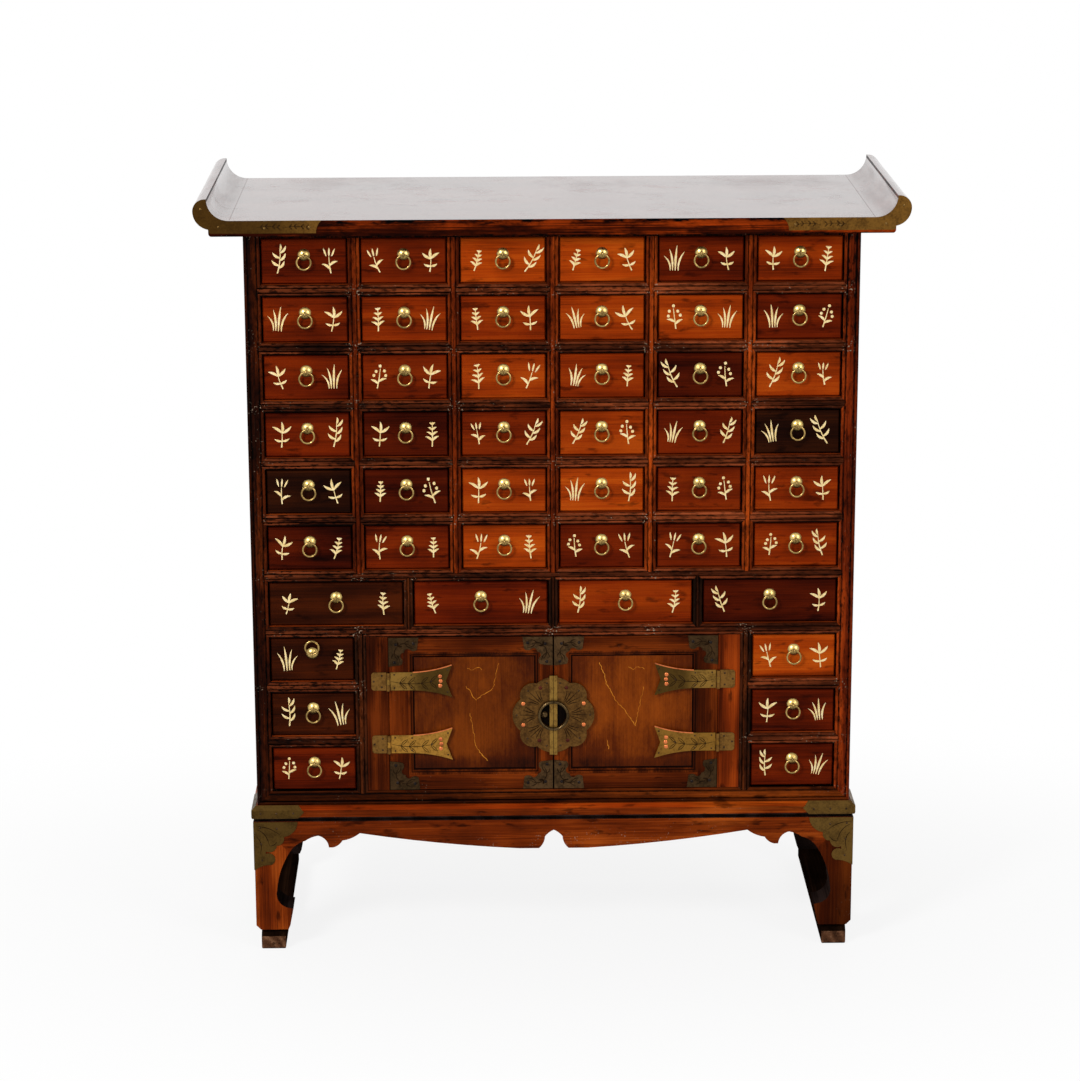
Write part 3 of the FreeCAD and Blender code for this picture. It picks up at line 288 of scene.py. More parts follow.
def top_edge_shade_and_streaks(finish):
    """The front edge of the top is darker along its upper arris, black along its foot as painted shade, and
    streaked between.
    """
    up = finish.along("z")
    streaks = finish.noise(120.0, drawn("x", BLOT), 4.0, 0.65).between(0.4, 0.66) * 0.6
    # Painted shade along the foot of the edge; the streaks are the wood's own.
    return up.between(*TOP_ARRIS) * 0.55 + (1 - up.between(*TOP_FOOT)) * 0.45 + streaks


top_sheen = wood("top_lacquer", "x", ((0.08, 0.024, 0.018), (0.14, 0.05, 0.04), (0.2, 0.085, 0.07)),
                 0.35, 120.0, gloss=0.2, coat=0.8, rough=0.26, dull=top_dust)
top_edge = wood("top_edge_lacquer", "x", ((0.003, 0.0004, 0.0002), (0.046, 0.005, 0.0006),
                                          (0.5, 0.056, 0.0036)), 0.8, 170.0, shade=top_edge_shade_and_streaks)
side_wood = wood("side_lacquer", "z", ((0.022, 0.003, 0.0009), (0.1, 0.0125, 0.0016), (0.22, 0.036, 0.004)),
                 0.6, 110.0, gloss=0.1, coat=0.08)
bare_wood = wood("bare_inner_wood", "y", ((0.12, 0.06, 0.024), (0.24, 0.13, 0.058), (0.36, 0.21, 0.1)),
                 0.15, 140.0, gloss=0.1, rough=0.6)


def top_rule(middle, normal):
    return top_sheen if normal.z > TOP_SLOPE else top_edge


dress("top_board", [top_sheen, top_edge], top_rule)
dress("carcass", [side_wood])
dress("drawer_guides", [bare_wood])
print("body and top dressed")

# %% [markdown]
# ## Stand
# The stand is the brightest wood on the chest, an orange red with dark streaks. Inside it, under its cap and
# along the runners, the wood is painted nearly black as shade, with some grime, and only the runners' ends
# are rubbed back to pale end grain. The upward front bevel of the cap is painted lighter, as where light
# falls on it. Seven woods that differ in grain, dirt and painted light do this, and two rules share them out.

# %% Stand and runners
STAND_TONES = ((0.034, 0.0046, 0.0009), (0.15, 0.0205, 0.002), (0.39, 0.074, 0.008))
CAP_LOW = 0.182
STAND_HALF = 0.3943
STAND_FRONT, STAND_BACK = -0.161, 0.172
LEG_WIDTH, LEG_DEPTH = 0.0497, 0.043
SKIN = 0.01
REVEAL = 0.003
HAIR = 0.001
EDGE = 0.0002


def apron_knocks(finish):
    """Feet have knocked the lower edge of the apron, near its middle."""
    low = 1 - finish.along("z").between(0.15, 0.17)
    patches = finish.noise(55.0, drawn("x", 0.5), 2.0).between(0.52, 0.64)
    return low * patches * (1 - finish.along("x").size().between(0.05, 0.26))


def right_leg_darkening(finish):
    """The right leg is darker than the left one, most of all low down."""
    low = 1 - finish.along("z").between(0.03, 0.2)
    return finish.along("x").between(0.24, 0.38) * (low * 0.3 + 0.55)


stand_across = wood("stand_lacquer_across", "x", STAND_TONES, 0.7, specks=0.7, knocks=apron_knocks)
stand_upright = wood("stand_lacquer_upright", "z", STAND_TONES, 0.7, specks=0.2, shade=right_leg_darkening)
stand_inward = wood("stand_lacquer_inward", "y", STAND_TONES, 0.7)
# Painted light: the cap's upward front bevel is brighter, as where light falls on it.
cap_lit_bevel = wood("cap_lit_bevel_wood", "x", ((0.08, 0.008, 0.0007), (0.28, 0.031, 0.002), (0.48, 0.08, 0.005)),
                 0.6)
# Painted shade, with some dust: near-black wood for the inside of the stand, the cap's underside and its
# groove.
shade_and_grime_wood = wood("stand_shade_and_grime_wood", "y", ((0.0045, 0.0026, 0.0022), (0.013, 0.0074, 0.0062),
                                              (0.034, 0.02, 0.017)), 0.4, gloss=0.0, rough=0.8)
# Painted shade: the runners' tops and sides are near black.
runner_shaded_side = wood("runner_shaded_dark_wood", "y", ((0.003, 0.0013, 0.0007), (0.009, 0.0038, 0.0019),
                                             (0.026, 0.011, 0.0055)),
                   0.4, 160.0, gloss=0.0, rough=0.7, specks=0.4)
runner_end = wood("runner_end_grain", "y", ((0.022, 0.008, 0.0035), (0.095, 0.038, 0.017),
                                            (0.24, 0.12, 0.064)),
                  0.7, 420.0, gloss=0.03, rough=0.7, specks=0.9)


def stand_rule(middle, normal):
    """Grain along each board. Whatever doesn't look outward, the cap's underside and the groove below it wear
    painted shade with dust.
    """
    from_side = STAND_HALF - abs(middle.x)
    from_front = middle.y - STAND_FRONT
    from_back = STAND_BACK - middle.y
    from_end = min(from_front, from_back)
    if middle.z > CAP_LOW - EDGE / 2:
        if normal.z < -0.3:
            return shade_and_grime_wood
        # Painted light on the upward front bevel of the cap.
        if normal.z > 0.3 and from_front < SKIN:
            return cap_lit_bevel
        return stand_inward if from_side < from_end else stand_across
    faces_side = from_side < SKIN and normal.x * middle.x > 0 and abs(normal.x) > 0.5
    faces_front = from_front < SKIN and normal.y < -0.5 and normal.z > -0.4
    faces_back = from_back < SKIN and normal.y > 0.5
    in_groove = middle.z > CAP_LOW - REVEAL and min(from_side, from_front) > HAIR
    # Painted shade for the groove and for faces that don't look outward.
    if in_groove or not (faces_side or faces_front or faces_back):
        return shade_and_grime_wood
    if from_side < LEG_WIDTH and from_end < LEG_DEPTH and from_side - HAIR < CAP_LOW - middle.z:
        return stand_upright
    return stand_across if from_end < LEG_DEPTH else stand_inward


def runner_rule(middle, normal):
    return runner_end if abs(normal.y) > SQUARE else runner_shaded_side


dress("stand_frame", [stand_across, stand_upright, stand_inward, shade_and_grime_wood, cap_lit_bevel], stand_rule)
dress("stand_runners", [runner_shaded_side, runner_end], runner_rule)
print("stand dressed")

# %% [markdown]
# ## Reeded bars
# The front frame is darker than the stand. Each bar has three reeds, the crown in the middle and one on each
# side. They are worn to red brown, and the grooves and the edges of the openings are painted black as shade,
# with some dirt, and a painted shadow line runs along the foot of each rail. Pale chips show where the
# lacquer has gone. Drawers that slide in and out have rubbed the tops of the rails bright. How deep a point
# lies behind the crowns tells the groove from the reed, so one sum puts the painted shade and dirt in place
# on every bar.

# %% Woods of the bars
CARCASS_HALF = 0.3893
STILE = 0.021
MULLION, WIDE_MULLION = 0.0152, 0.0121
RAIL, BOTTOM_RAIL = 0.0152, 0.0196
INNER_HALF = CARCASS_HALF - STILE
COLUMN_PITCH = (2 * INNER_HALF + MULLION) / 6
WIDE_PITCH = (2 * INNER_HALF + WIDE_MULLION) / 4
FLOOR_Z = 0.2196
ROW_PITCH = 0.0748
FRAME_FRONT = -0.156
GROOVE = (0.0004, 0.0013)
OPENING = (0.0014, 0.0018)
BARS = {
    "mullion": ("z", ((0.014, 0.0018, 0.0004), (0.112, 0.0138, 0.0015), (0.33, 0.048, 0.0046)),
                ((0.02, 0.0024, 0.0005), (0.145, 0.0172, 0.0017), (0.4, 0.058, 0.0052))),
    "rail": ("x", ((0.008, 0.002, 0.0008), (0.1, 0.0195, 0.0056), (0.34, 0.073, 0.022)),
             ((0.006, 0.0016, 0.0007), (0.08, 0.016, 0.0046), (0.29, 0.061, 0.017))),
    "left_stile": ("z", ((0.002, 0.0007, 0.0003), (0.014, 0.0025, 0.0008), (0.085, 0.013, 0.0021)),
                   ((0.003, 0.0008, 0.0003), (0.019, 0.003, 0.0007), (0.1, 0.016, 0.002))),
    "right_stile": ("z", ((0.012, 0.0017, 0.0004), (0.12, 0.013, 0.0016), (0.38, 0.051, 0.005)),
                    ((0.01, 0.0015, 0.0004), (0.135, 0.0142, 0.0017), (0.42, 0.055, 0.0052))),
    "post": ("z", ((0.004, 0.0014, 0.0006), (0.015, 0.0046, 0.0017), (0.07, 0.015, 0.004)),
             ((0.006, 0.0018, 0.0007), (0.028, 0.0064, 0.0019), (0.11, 0.022, 0.004))),
    "bottom_rail": ("x", ((0.006, 0.0013, 0.0004), (0.046, 0.0077, 0.0011), (0.18, 0.032, 0.004)),
                    ((0.014, 0.0026, 0.0005), (0.09, 0.0156, 0.0018), (0.29, 0.053, 0.005))),
}


def bar_dirt_and_shade(bar, grain):
    """Dirt and painted shade on a bar: painted shade in the grooves and on the edges of the openings, dirt in
    patches all along it.
    """

    def shade(finish):
        depth = finish.along("y") - FRAME_FRONT
        up = finish.along("z")
        left = 1 - finish.along("x").between(-0.36, 0.3)
        patches = finish.noise(330.0, drawn(grain, BLOT), 3.0, 0.65).between(0.47, 0.62)
        # Painted shade: darker by depth in the grooves between the reeds and on the edges of the openings
        # behind them.
        dirt_and_shade = depth.between(*GROOVE) * 0.75 + depth.between(*OPENING) * 0.15
        dirt_and_shade = dirt_and_shade + patches * (0.2 if bar == "bottom_rail" else 0.55)
        if bar == "rail":
            # Painted shadow along the lowest part of each rail; the rails are also darker towards the left.
            over = (up - FLOOR_Z).repeat(ROW_PITCH) - (ROW_PITCH - RAIL)
            dirt_and_shade = dirt_and_shade + (1 - over.between(0.0006, 0.0026)) * 0.8 + left * 0.36
        if bar == "bottom_rail":
            dirt_and_shade = dirt_and_shade + left * 0.45
        # The right stile is darker high up.
        if bar == "right_stile":
            dirt_and_shade = dirt_and_shade + up.between(0.76, 0.86) * 0.35
        return dirt_and_shade

    return shade


def crossings(finish):
    """1 near the crossings of the bars, where knocks have chipped the lacquer, and 0 away from them."""
    across = (finish.along("x") + (INNER_HALF + MULLION / 2)).swing(COLUMN_PITCH / 2)
    up = (finish.along("z") - (FLOOR_Z - RAIL / 2)).swing(ROW_PITCH / 2)
    some = finish.noise(24.0, detail=2.0, shift=(5.0, 0.0, 2.0)).between(0.46, 0.62)
    return (1 - across.between(0.006, 0.014)) * (1 - up.between(0.005, 0.012)) * some


bar_woods = {}
for bar, (grain, *reed_tones) in BARS.items():
    for part, tones in zip(("reed", "crown"), reed_tones):
        bar_woods[bar, part] = wood(
            f"{bar}_{part}", grain, tones, 0.7, 190.0, gloss=0.02, rough=0.36,
            specks=1.3 if bar == "rail" else 0.8, shade=bar_dirt_and_shade(bar, grain),
            knocks=None if bar == "bottom_rail" else crossings)
left_jamb = wood("left_jamb_lacquer", "z", ((0.009, 0.0014, 0.0004), (0.05, 0.0072, 0.001),
                                            (0.14, 0.023, 0.0026)), 0.7, 170.0)
right_jamb = wood("right_jamb_lacquer", "z", ((0.03, 0.0038, 0.0006), (0.15, 0.0185, 0.0019),
                                              (0.32, 0.047, 0.0042)), 0.7, 170.0)
sill = wood("rubbed_sill", "x", ((0.11, 0.015, 0.0025), (0.3, 0.042, 0.006), (0.45, 0.08, 0.012)), 0.4, 170.0)
print(len(bar_woods), "woods for reeds and crowns")

# %% [markdown]
# Where bars meet, a tongue of one reaches into the other, mitred like the corner of a picture frame. The
# frame is one node, so the rule finds the bar from the grid of openings, row by row from the top, and follows
# the outline of each tongue. Modelling every bar as a node of its own would say the same with many more
# nodes.

# %% The front frame
WIDE_LEVEL, SMALL_LEVEL, TOP_LEVEL = 3, 4, 9
WIDE_ROW, SMALL_ROWS, TOP_ROW = (level * ROW_PITCH for level in (WIDE_LEVEL, SMALL_LEVEL, TOP_LEVEL))
LOW_POST = INNER_HALF - COLUMN_PITCH
JAMB = 0.028
REED, REED_DEPTH = 0.0044, 0.0016


def reed_of(bar, across, width):
    return bar_woods[bar, "crown" if REED < across < width - REED else "reed"]


def tongue(into, across, width):
    """Whether a spot, so far into the other bar, is inside a tongue mitred at 45 degrees on both sides."""
    return -EDGE < into < REED and into < across < width - into


def frame_rule(middle, normal):
    """Which bar a face belongs to, from its place in the grid of openings."""
    side = abs(middle.x)
    up = middle.z - FLOOR_Z
    over_rail = up % ROW_PITCH - ROW_PITCH + RAIL if up < TOP_ROW else -1.0
    column = (middle.x + INNER_HALF) % COLUMN_PITCH - COLUMN_PITCH + MULLION
    wide = (middle.x + INNER_HALF) % WIDE_PITCH - WIDE_PITCH + WIDE_MULLION
    post = side - LOW_POST
    into_stile = side - INNER_HALF
    if abs(normal.x) > SQUARE and side > CARCASS_HALF - EDGE:
        return side_wood
    if normal.z > SQUARE and up > EDGE and middle.y > FRAME_FRONT + REED_DEPTH:
        return sill
    if into_stile > -EDGE and up + BOTTOM_RAIL > (CARCASS_HALF - side) * BOTTOM_RAIL / STILE:
        if tongue(into_stile, over_rail, RAIL):
            return reed_of("rail", over_rail, RAIL)
        return reed_of("left_stile" if middle.x < 0 else "right_stile", into_stile, STILE)
    if up > SMALL_ROWS:
        if column < 0 or tongue(min(column, MULLION - column), over_rail, RAIL):
            return reed_of("rail", over_rail, RAIL)
        return reed_of("mullion", column, MULLION)
    if up > SMALL_ROWS - RAIL and tongue(RAIL - over_rail, column, MULLION):
        return reed_of("mullion", column, MULLION)
    if up > SMALL_ROWS - RAIL and not tongue(over_rail, wide, WIDE_MULLION):
        return reed_of("rail", over_rail, RAIL)
    if up > WIDE_ROW or up > WIDE_ROW - RAIL and tongue(RAIL - over_rail, wide, WIDE_MULLION):
        return reed_of("post", wide, WIDE_MULLION)
    if up > WIDE_ROW - RAIL:
        return reed_of("post" if tongue(over_rail, post, MULLION) else "rail", over_rail, RAIL)
    if up > 0 and -JAMB - EDGE < post < -EDGE:
        return left_jamb if middle.x < 0 else right_jamb
    if up > 0 and (post > MULLION + EDGE or tongue(MULLION - post, over_rail, RAIL)):
        return reed_of("rail", over_rail, RAIL)
    if up > 0 or tongue(-up, post, MULLION):
        return reed_of("post", post, MULLION)
    return reed_of("bottom_rail", up + BOTTOM_RAIL, BOTTOM_RAIL)


frame_woods = [left_jamb, side_wood, sill, right_jamb, *bar_woods.values()]
dress("front_frame", frame_woods, frame_rule)
print("front frame dressed in", len(frame_woods), "woods")

# %% [markdown]
# ## Brass
# Two kinds of brass are on this chest. The pulls are polished by hands. The mounts are old: olive brown,
# punched and engraved, brighter where they are rubbed. Metal takes its look from what it reflects, so the
# colour stays simple and the patina changes the roughness. Fine dents come from a cell pattern as a bump.

# %% The brass recipe
PULL_UP = 0.0378


def brass(name, bright, patina, amount, rough, dents, shade=None):
    """Brass with patches of patina and a hammered or punched face. A shade says where it is nearly black."""
    finish = Finish(name, {"Metallic": 1.0})
    clouds = finish.noise(70.0, detail=5.0, roughness=0.65)
    grime = finish.noise(420.0, roughness=0.6)
    aged = (clouds * 0.65 + grime * 0.45).between(0.62 - 0.3 * amount, 0.72)
    colour = finish.mix(aged, bright, patina)
    if shade:
        colour = finish.mix(shade(finish), colour, tuple(value * 0.3 for value in patina))
    punched = finish.add("TexVoronoi", {"feature": "SMOOTH_F1"}, {
        "Vector": finish.place(), "Scale": 900.0, "Smoothness": 0.4}, "Distance")
    finish.feed({
        "Base Color": colour,
        "Roughness": aged * 0.22 + rough,
        "Normal": finish.bump(punched + grime * 0.6, dents, 0.0004),
    })
    return finish.material


def side_grime(clean, dirty, amount, both=False):
    """Dirt that grows across the chest, from a clean place to a dirty one, or on both halves alike."""

    def shade(finish):
        across = finish.along("x").size() if both else finish.along("x")
        return across.between(clean, dirty) * amount

    return shade


def rose_lower_shade(finish):
    """Hands rub the crown of a rose. Its lower half, behind the staple, is darker: painted shade, with some
    dull patina.
    """
    up = (finish.along("z") - FLOOR_Z).repeat(ROW_PITCH) - PULL_UP
    return (1 - up.between(-0.006, 0.0016)) * 0.8


BRASSES = {
    "rose": ((0.68, 0.49, 0.17), (0.34, 0.22, 0.06), 0.3, 0.27, 0.02, rose_lower_shade),
    "ring": ((0.42, 0.28, 0.095), (0.14, 0.085, 0.026), 0.6, 0.2, 0.05),
    "plate": ((0.14, 0.066, 0.0165), (0.052, 0.024, 0.0075), 0.8, 0.38, 0.22),
    "lower_strap": ((0.36, 0.178, 0.03), (0.185, 0.089, 0.0165), 0.5, 0.34, 0.2, side_grime(0.0, 0.14, 0.44)),
    "upper_strap": ((0.24, 0.13, 0.027), (0.12, 0.064, 0.015), 0.5, 0.34, 0.2,
                    side_grime(0.196, 0.168, 0.82, True)),
    "hinge_leaf": ((0.185, 0.09, 0.0205), (0.09, 0.043, 0.011), 0.5, 0.34, 0.2),
    "corner_plate": ((0.084, 0.045, 0.0185), (0.028, 0.0158, 0.0072), 0.7, 0.38, 0.24,
                     side_grime(0.1, 0.19, 0.4, True)),
    "stand_mount": ((0.118, 0.064, 0.015), (0.062, 0.033, 0.0085), 0.6, 0.38, 0.14,
                    side_grime(0.1, -0.1, 0.34)),
    "end_plate": ((0.17, 0.08, 0.015), (0.07, 0.032, 0.007), 0.7, 0.34, 0.16,
                  side_grime(-0.288, -0.36, 0.68)),
    "grip": ((0.09, 0.056, 0.023), (0.034, 0.021, 0.009), 0.5, 0.22, 0.05),
    "bar": ((0.25, 0.14, 0.03), (0.11, 0.056, 0.014), 0.5, 0.3, 0.1),
}
brasses = {name: brass(name + "_brass", *recipe) for name, recipe in BRASSES.items()}
print(len(brasses), "brasses mixed")

# %% [markdown]
# The mounts of a door are one node, with straps, corner plates, lock plate, bar and grip. They differ in age:
# the lower straps are the lightest, the upper ones have brown tails, and corner plates, lock and grip are
# dark. Each has its own place, so a face's distance from the lock, its side and its height tell which mount
# it belongs to.

# %% Mounts
HANDS = (("left", -1), ("right", 1))
LOCK_Z = 0.3215
LOCK_REACH = 0.0552
PLATE_FRONT = -0.1562
DOOR_FRONT = -0.155
BAR_HALF, BAR_RISE = 0.0051, 0.003
GRIP_INNER, GRIP_OUTER = 0.0164, 0.0206
SLIVER = 0.00005
CORNER_INNER, CORNER_OUTER = 0.042, 0.174
CORNER_LOW, CORNER_HIGH = 0.2605, 0.388
ABOVE_DRAWERS = 0.9


def door_brass_rule(middle, normal):
    side = abs(middle.x)
    from_lock = math.hypot(side, middle.z - LOCK_Z)
    if from_lock > LOCK_REACH:
        if not CORNER_INNER < side < CORNER_OUTER and not CORNER_LOW < middle.z < CORNER_HIGH:
            return brasses["corner_plate"]
        return brasses["upper_strap" if middle.z > LOCK_Z else "lower_strap"]
    if middle.y > PLATE_FRONT - SLIVER:
        return brasses["plate"]
    if GRIP_INNER < from_lock < GRIP_OUTER and side > BAR_HALF - SLIVER:
        return brasses["grip"]
    return brasses["bar" if middle.y > DOOR_FRONT - BAR_RISE - SLIVER and side < BAR_HALF else "grip"]


def mount_rule(middle, normal):
    return brasses["end_plate" if middle.z > ABOVE_DRAWERS else "stand_mount"]


DOOR_BRASSES = ("plate", "lower_strap", "grip", "bar", "corner_plate", "upper_strap")
for hand, sign in HANDS:
    dress(f"{hand}_door_brass", [brasses[name] for name in DOOR_BRASSES], door_brass_rule)
dress("hinge_leaves_and_pins", [brasses["hinge_leaf"]])
dress("brass_mounts", [brasses["stand_mount"], brasses["end_plate"]], mount_rule)
print("brass mounts dressed")

# %% [markdown]
# ## Drawers
# The fronts were cut from many boards, so their tones run from near black to amber, in no order. Each tone is
# one wood with its own colours, and a table says which front wears which. Grime and painted shade lie along
# the top and side edges of the fronts, which sit back behind the frame. They repeat at an even pitch, so one
# sum with a remainder finds the edges of all of them. Behind the front the drawer is bare wood, and what
# stands in front of it is the brass pull.

# %% Fronts
TONES = {
    "ebony": ((0.003, 0.0009, 0.0005), (0.012, 0.0025, 0.0008), (0.03, 0.006, 0.0012)),
    "umber": ((0.008, 0.0015, 0.0005), (0.028, 0.0045, 0.0009), (0.06, 0.0095, 0.0014)),
    "oxblood": ((0.012, 0.0012, 0.0003), (0.045, 0.0037, 0.0005), (0.085, 0.008, 0.0008)),
    "dark_red": ((0.03, 0.0026, 0.0004), (0.098, 0.008, 0.0007), (0.16, 0.015, 0.001)),
    "red": ((0.045, 0.0038, 0.0005), (0.135, 0.0122, 0.0009), (0.21, 0.023, 0.0015)),
    "russet": ((0.07, 0.0068, 0.0006), (0.195, 0.0185, 0.001), (0.29, 0.037, 0.002)),
    "orange": ((0.11, 0.0115, 0.0008), (0.26, 0.0285, 0.0014), (0.37, 0.054, 0.003)),
    "amber": ((0.14, 0.0165, 0.001), (0.33, 0.039, 0.0018), (0.46, 0.076, 0.004)),
}
SMALL_TONES = (
    "dark_red red amber amber dark_red russet",
    "red russet russet orange orange dark_red",
    "dark_red red orange russet oxblood orange",
    "dark_red oxblood red orange dark_red ebony",
    "ebony oxblood orange amber red russet",
    "oxblood red amber dark_red red russet",
)
WIDE_TONES = "umber dark_red russet oxblood"
LOW_TONES = {"left": "umber umber dark_red", "right": "amber dark_red dark_red"}
FRONT_GAP = 0.0012
FRONT_HEIGHT = 0.0572
FRONT_Y, FRONT_THICK = -0.152, 0.014
ROSE_HEIGHT = 0.0043


def edge_grime_and_shade(pitch, bar):
    """Grime and painted shade along the top and side edges of every front in a row, set back behind the
    frame. The lower edges stay clear.
    """
    width = pitch - bar - 2 * FRONT_GAP

    def shade(finish):
        across = (finish.along("x") + (INNER_HALF - FRONT_GAP)).repeat(pitch)
        up = (finish.along("z") - (FLOOR_Z + FRONT_GAP)).repeat(ROW_PITCH)
        # Painted shade, with grime, darkens the sides and the top of each front.
        clear = across.between(0.0001, 0.0014) * (1 - across.between(width - 0.0014, width - 0.0001))
        clear = clear * (1 - up.between(FRONT_HEIGHT - 0.0026, FRONT_HEIGHT - 0.0002))
        return (1 - clear) * 0.2

    return shade


small_grime_and_shade = edge_grime_and_shade(COLUMN_PITCH, MULLION)
wide_grime_and_shade = edge_grime_and_shade(WIDE_PITCH, WIDE_MULLION)
small_woods = {tone: wood("front_" + tone, "x", TONES[tone], 0.6, shade=small_grime_and_shade) for tone in TONES}
wide_woods = {tone: wood("wide_front_" + tone, "x", TONES[tone], 0.6, shade=wide_grime_and_shade)
              for tone in WIDE_TONES.split()}
print(len(small_woods) + len(wide_woods), "woods for the fronts")

# %% [markdown]
# A list of the drawers gives each its wood, the middle of its front, and its row counted from the floor. The
# same list serves the paint further down, so a drawer and its sprigs can't part.

# %% Drawers
SMALL_MIDDLE = (COLUMN_PITCH - MULLION) / 2 - INNER_HALF
WIDE_MIDDLE = (WIDE_PITCH - WIDE_MULLION) / 2 - INNER_HALF

drawers = []
for row, tones in enumerate(SMALL_TONES):
    for column, tone in enumerate(tones.split()):
        x = SMALL_MIDDLE + COLUMN_PITCH * column
        drawers.append((f"small_drawer_r{row + 1}_c{column + 1}", small_woods[tone], x, TOP_LEVEL - row))
for column, tone in enumerate(WIDE_TONES.split()):
    x = WIDE_MIDDLE + WIDE_PITCH * column
    drawers.append((f"wide_drawer_{column + 1}", wide_woods[tone], x, WIDE_LEVEL))
for hand, sign in HANDS:
    for row, tone in enumerate(LOW_TONES[hand].split()):
        level = WIDE_LEVEL - 1 - row
        drawers.append((f"low_{hand}_drawer_{row + 1}", small_woods[tone], sign * -SMALL_MIDDLE, level))


def drawer_rule(front):
    def rule(middle, normal):
        depth = middle.y - FRONT_Y
        if depth < -ROSE_HEIGHT:
            return brasses["ring"]
        if depth < -SLIVER:
            return brasses["rose"]
        return bare_wood if depth > FRONT_THICK + EDGE else front

    return rule


for drawer, front, x, level in drawers:
    dress(drawer, [front, bare_wood, brasses["rose"], brasses["ring"]], drawer_rule(front))
print(len(drawers), "drawers in", len(TONES), "tones")

# %% [markdown]
# ## Doors
# A door is a dark frame round a lighter veneer panel, with a sloping moulding between them. Two lines of
# painted shade run along the moulding: a thin one below its lip and a broad one at the panel. The veneer is
# painted brightest in the middle of each panel and darker towards its rim, with painted shadow bands along
# its top and foot. Its thin yellow growth lines are laid on further down, as strips.

# %% Door frames and veneer
PANEL_MIDDLE = 0.103
GLOW_UP = 0.012
DOOR_GAP = 0.0008
DOOR_STILE, MEETING_STILE, DOOR_RAIL = 0.025, 0.016, 0.02
HINGE_X = LOW_POST - JAMB
DOOR_OUTER, DOOR_INNER = HINGE_X - DOOR_GAP, 0.001
DOOR_LOW, DOOR_HIGH = FLOOR_Z + DOOR_GAP, FLOOR_Z + WIDE_ROW - RAIL - DOOR_GAP
VENEERS = {
    "left": ((0.009, 0.0013, 0.0003), (0.057, 0.0086, 0.0008), (0.17, 0.033, 0.002)),
    "right": ((0.015, 0.0022, 0.0004), (0.085, 0.0132, 0.001), (0.24, 0.047, 0.003)),
}


def veneer(name, tones):
    """Veneer with fine upright fibres and flecks, painted brightest in the middle of each panel and darker
    towards its rim as painted shade.
    """
    finish = Finish(name, {"Specular IOR Level": 0.04})
    fibres = finish.noise(800.0, drawn("z", FIBRE))
    figure = finish.noise(46.0, drawn("z", 0.35), 4.0, 0.6, 0.6)
    clouds = finish.noise(13.0)
    flecks = finish.noise(400.0, drawn("z", 0.45), 3.0, 0.7)
    out = (finish.along("x").size() - PANEL_MIDDLE).size()
    up = (finish.along("z") - (LOCK_Z + GLOW_UP)).size()
    # Painted shade: darker towards the panel's rim, with painted shadow bands below its top and above its
    # foot.
    rim = (out * 0.9 + up).between(0.04, 0.15) + up.between(0.066, 0.08) * 0.6
    tone = clouds * 0.44 + fibres * 0.24 + figure * 0.4 + flecks * 0.2 - rim * 0.2
    finish.feed({
        "Base Color": finish.ramp(tone, (0.22, 0.48, 0.74), tones),
        "Roughness": fibres * 0.14 + 0.24,
        "Normal": finish.bump(fibres, 0.08, 0.0005),
    })
    return finish.material


def moulding_shade_lines(finish):
    # Painted shade: a thin dark line below the moulding's lip and a broad one where it meets the panel, set
    # by depth.
    depth = finish.along("y") - DOOR_FRONT
    thin = depth.between(0.0007, 0.001) * (1 - depth.between(0.0014, 0.0019))
    return thin * 0.9 + depth.between(0.0022, 0.0031) * 0.97


def upper_rail_grime(finish):
    """The upper rail of the right door is darker than the lower one."""
    return finish.along("z").between(0.3, 0.4) * finish.along("x").between(-0.04, 0.04) * 0.22


door_upright = wood("door_lacquer_upright", "z", (
    (0.01, 0.0016, 0.0004), (0.052, 0.0074, 0.0009), (0.17, 0.028, 0.0028)), 0.5, 160.0, specks=0.4)
door_across = wood("door_lacquer_across", "x", (
    (0.014, 0.0022, 0.0005), (0.07, 0.01, 0.0012), (0.2, 0.033, 0.0033)), 0.8, 160.0, specks=0.6,
    shade=upper_rail_grime)
moulding_wood = wood("door_moulding_lacquer", "z", (
    (0.012, 0.002, 0.0005), (0.054, 0.0085, 0.0011), (0.16, 0.027, 0.003)), 0.5, 170.0, shade=moulding_shade_lines)


def door_rule(middle, normal):
    side = abs(middle.x)
    if side > DOOR_OUTER - DOOR_STILE - EDGE or side < DOOR_INNER + MEETING_STILE + EDGE:
        return door_upright
    if middle.z < DOOR_LOW + DOOR_RAIL + EDGE or middle.z > DOOR_HIGH - DOOR_RAIL - EDGE:
        return door_across
    return moulding_wood


for hand, sign in HANDS:
    dress(f"{hand}_door_frame", [door_upright, door_across, moulding_wood], door_rule)
    dress(f"{hand}_door_panel", [veneer(f"{hand}_door_veneer", VENEERS[hand])])
print("doors dressed")

# %% [markdown]
# ## Thin work on flat faces
# Paint, engraving and edge strips are all thin, flat and long, so one tool makes them: a path with a width at
# each point, swept into a closed strip that stands a little before the face and is let into it a little. A
# curve object with a bevel would do the same, but a brush stroke swells and thins, and a width for each point
# says that plainly.

# %% A tapered strip
LET_IN = 0.00006


def new_piece(name, mesh, finish, body):
    """A finished mesh as a piece that rides on a body and wears the given finish."""
    bmesh.ops.recalc_face_normals(mesh, faces=mesh.faces)
    data = bpy.data.meshes.new(name)
    mesh.to_mesh(data)
    mesh.free()
    data.materials.append(finish)
    piece = bpy.data.objects.new(name, data)
    bpy.context.scene.collection.objects.link(piece)
    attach(piece, body)
    return piece


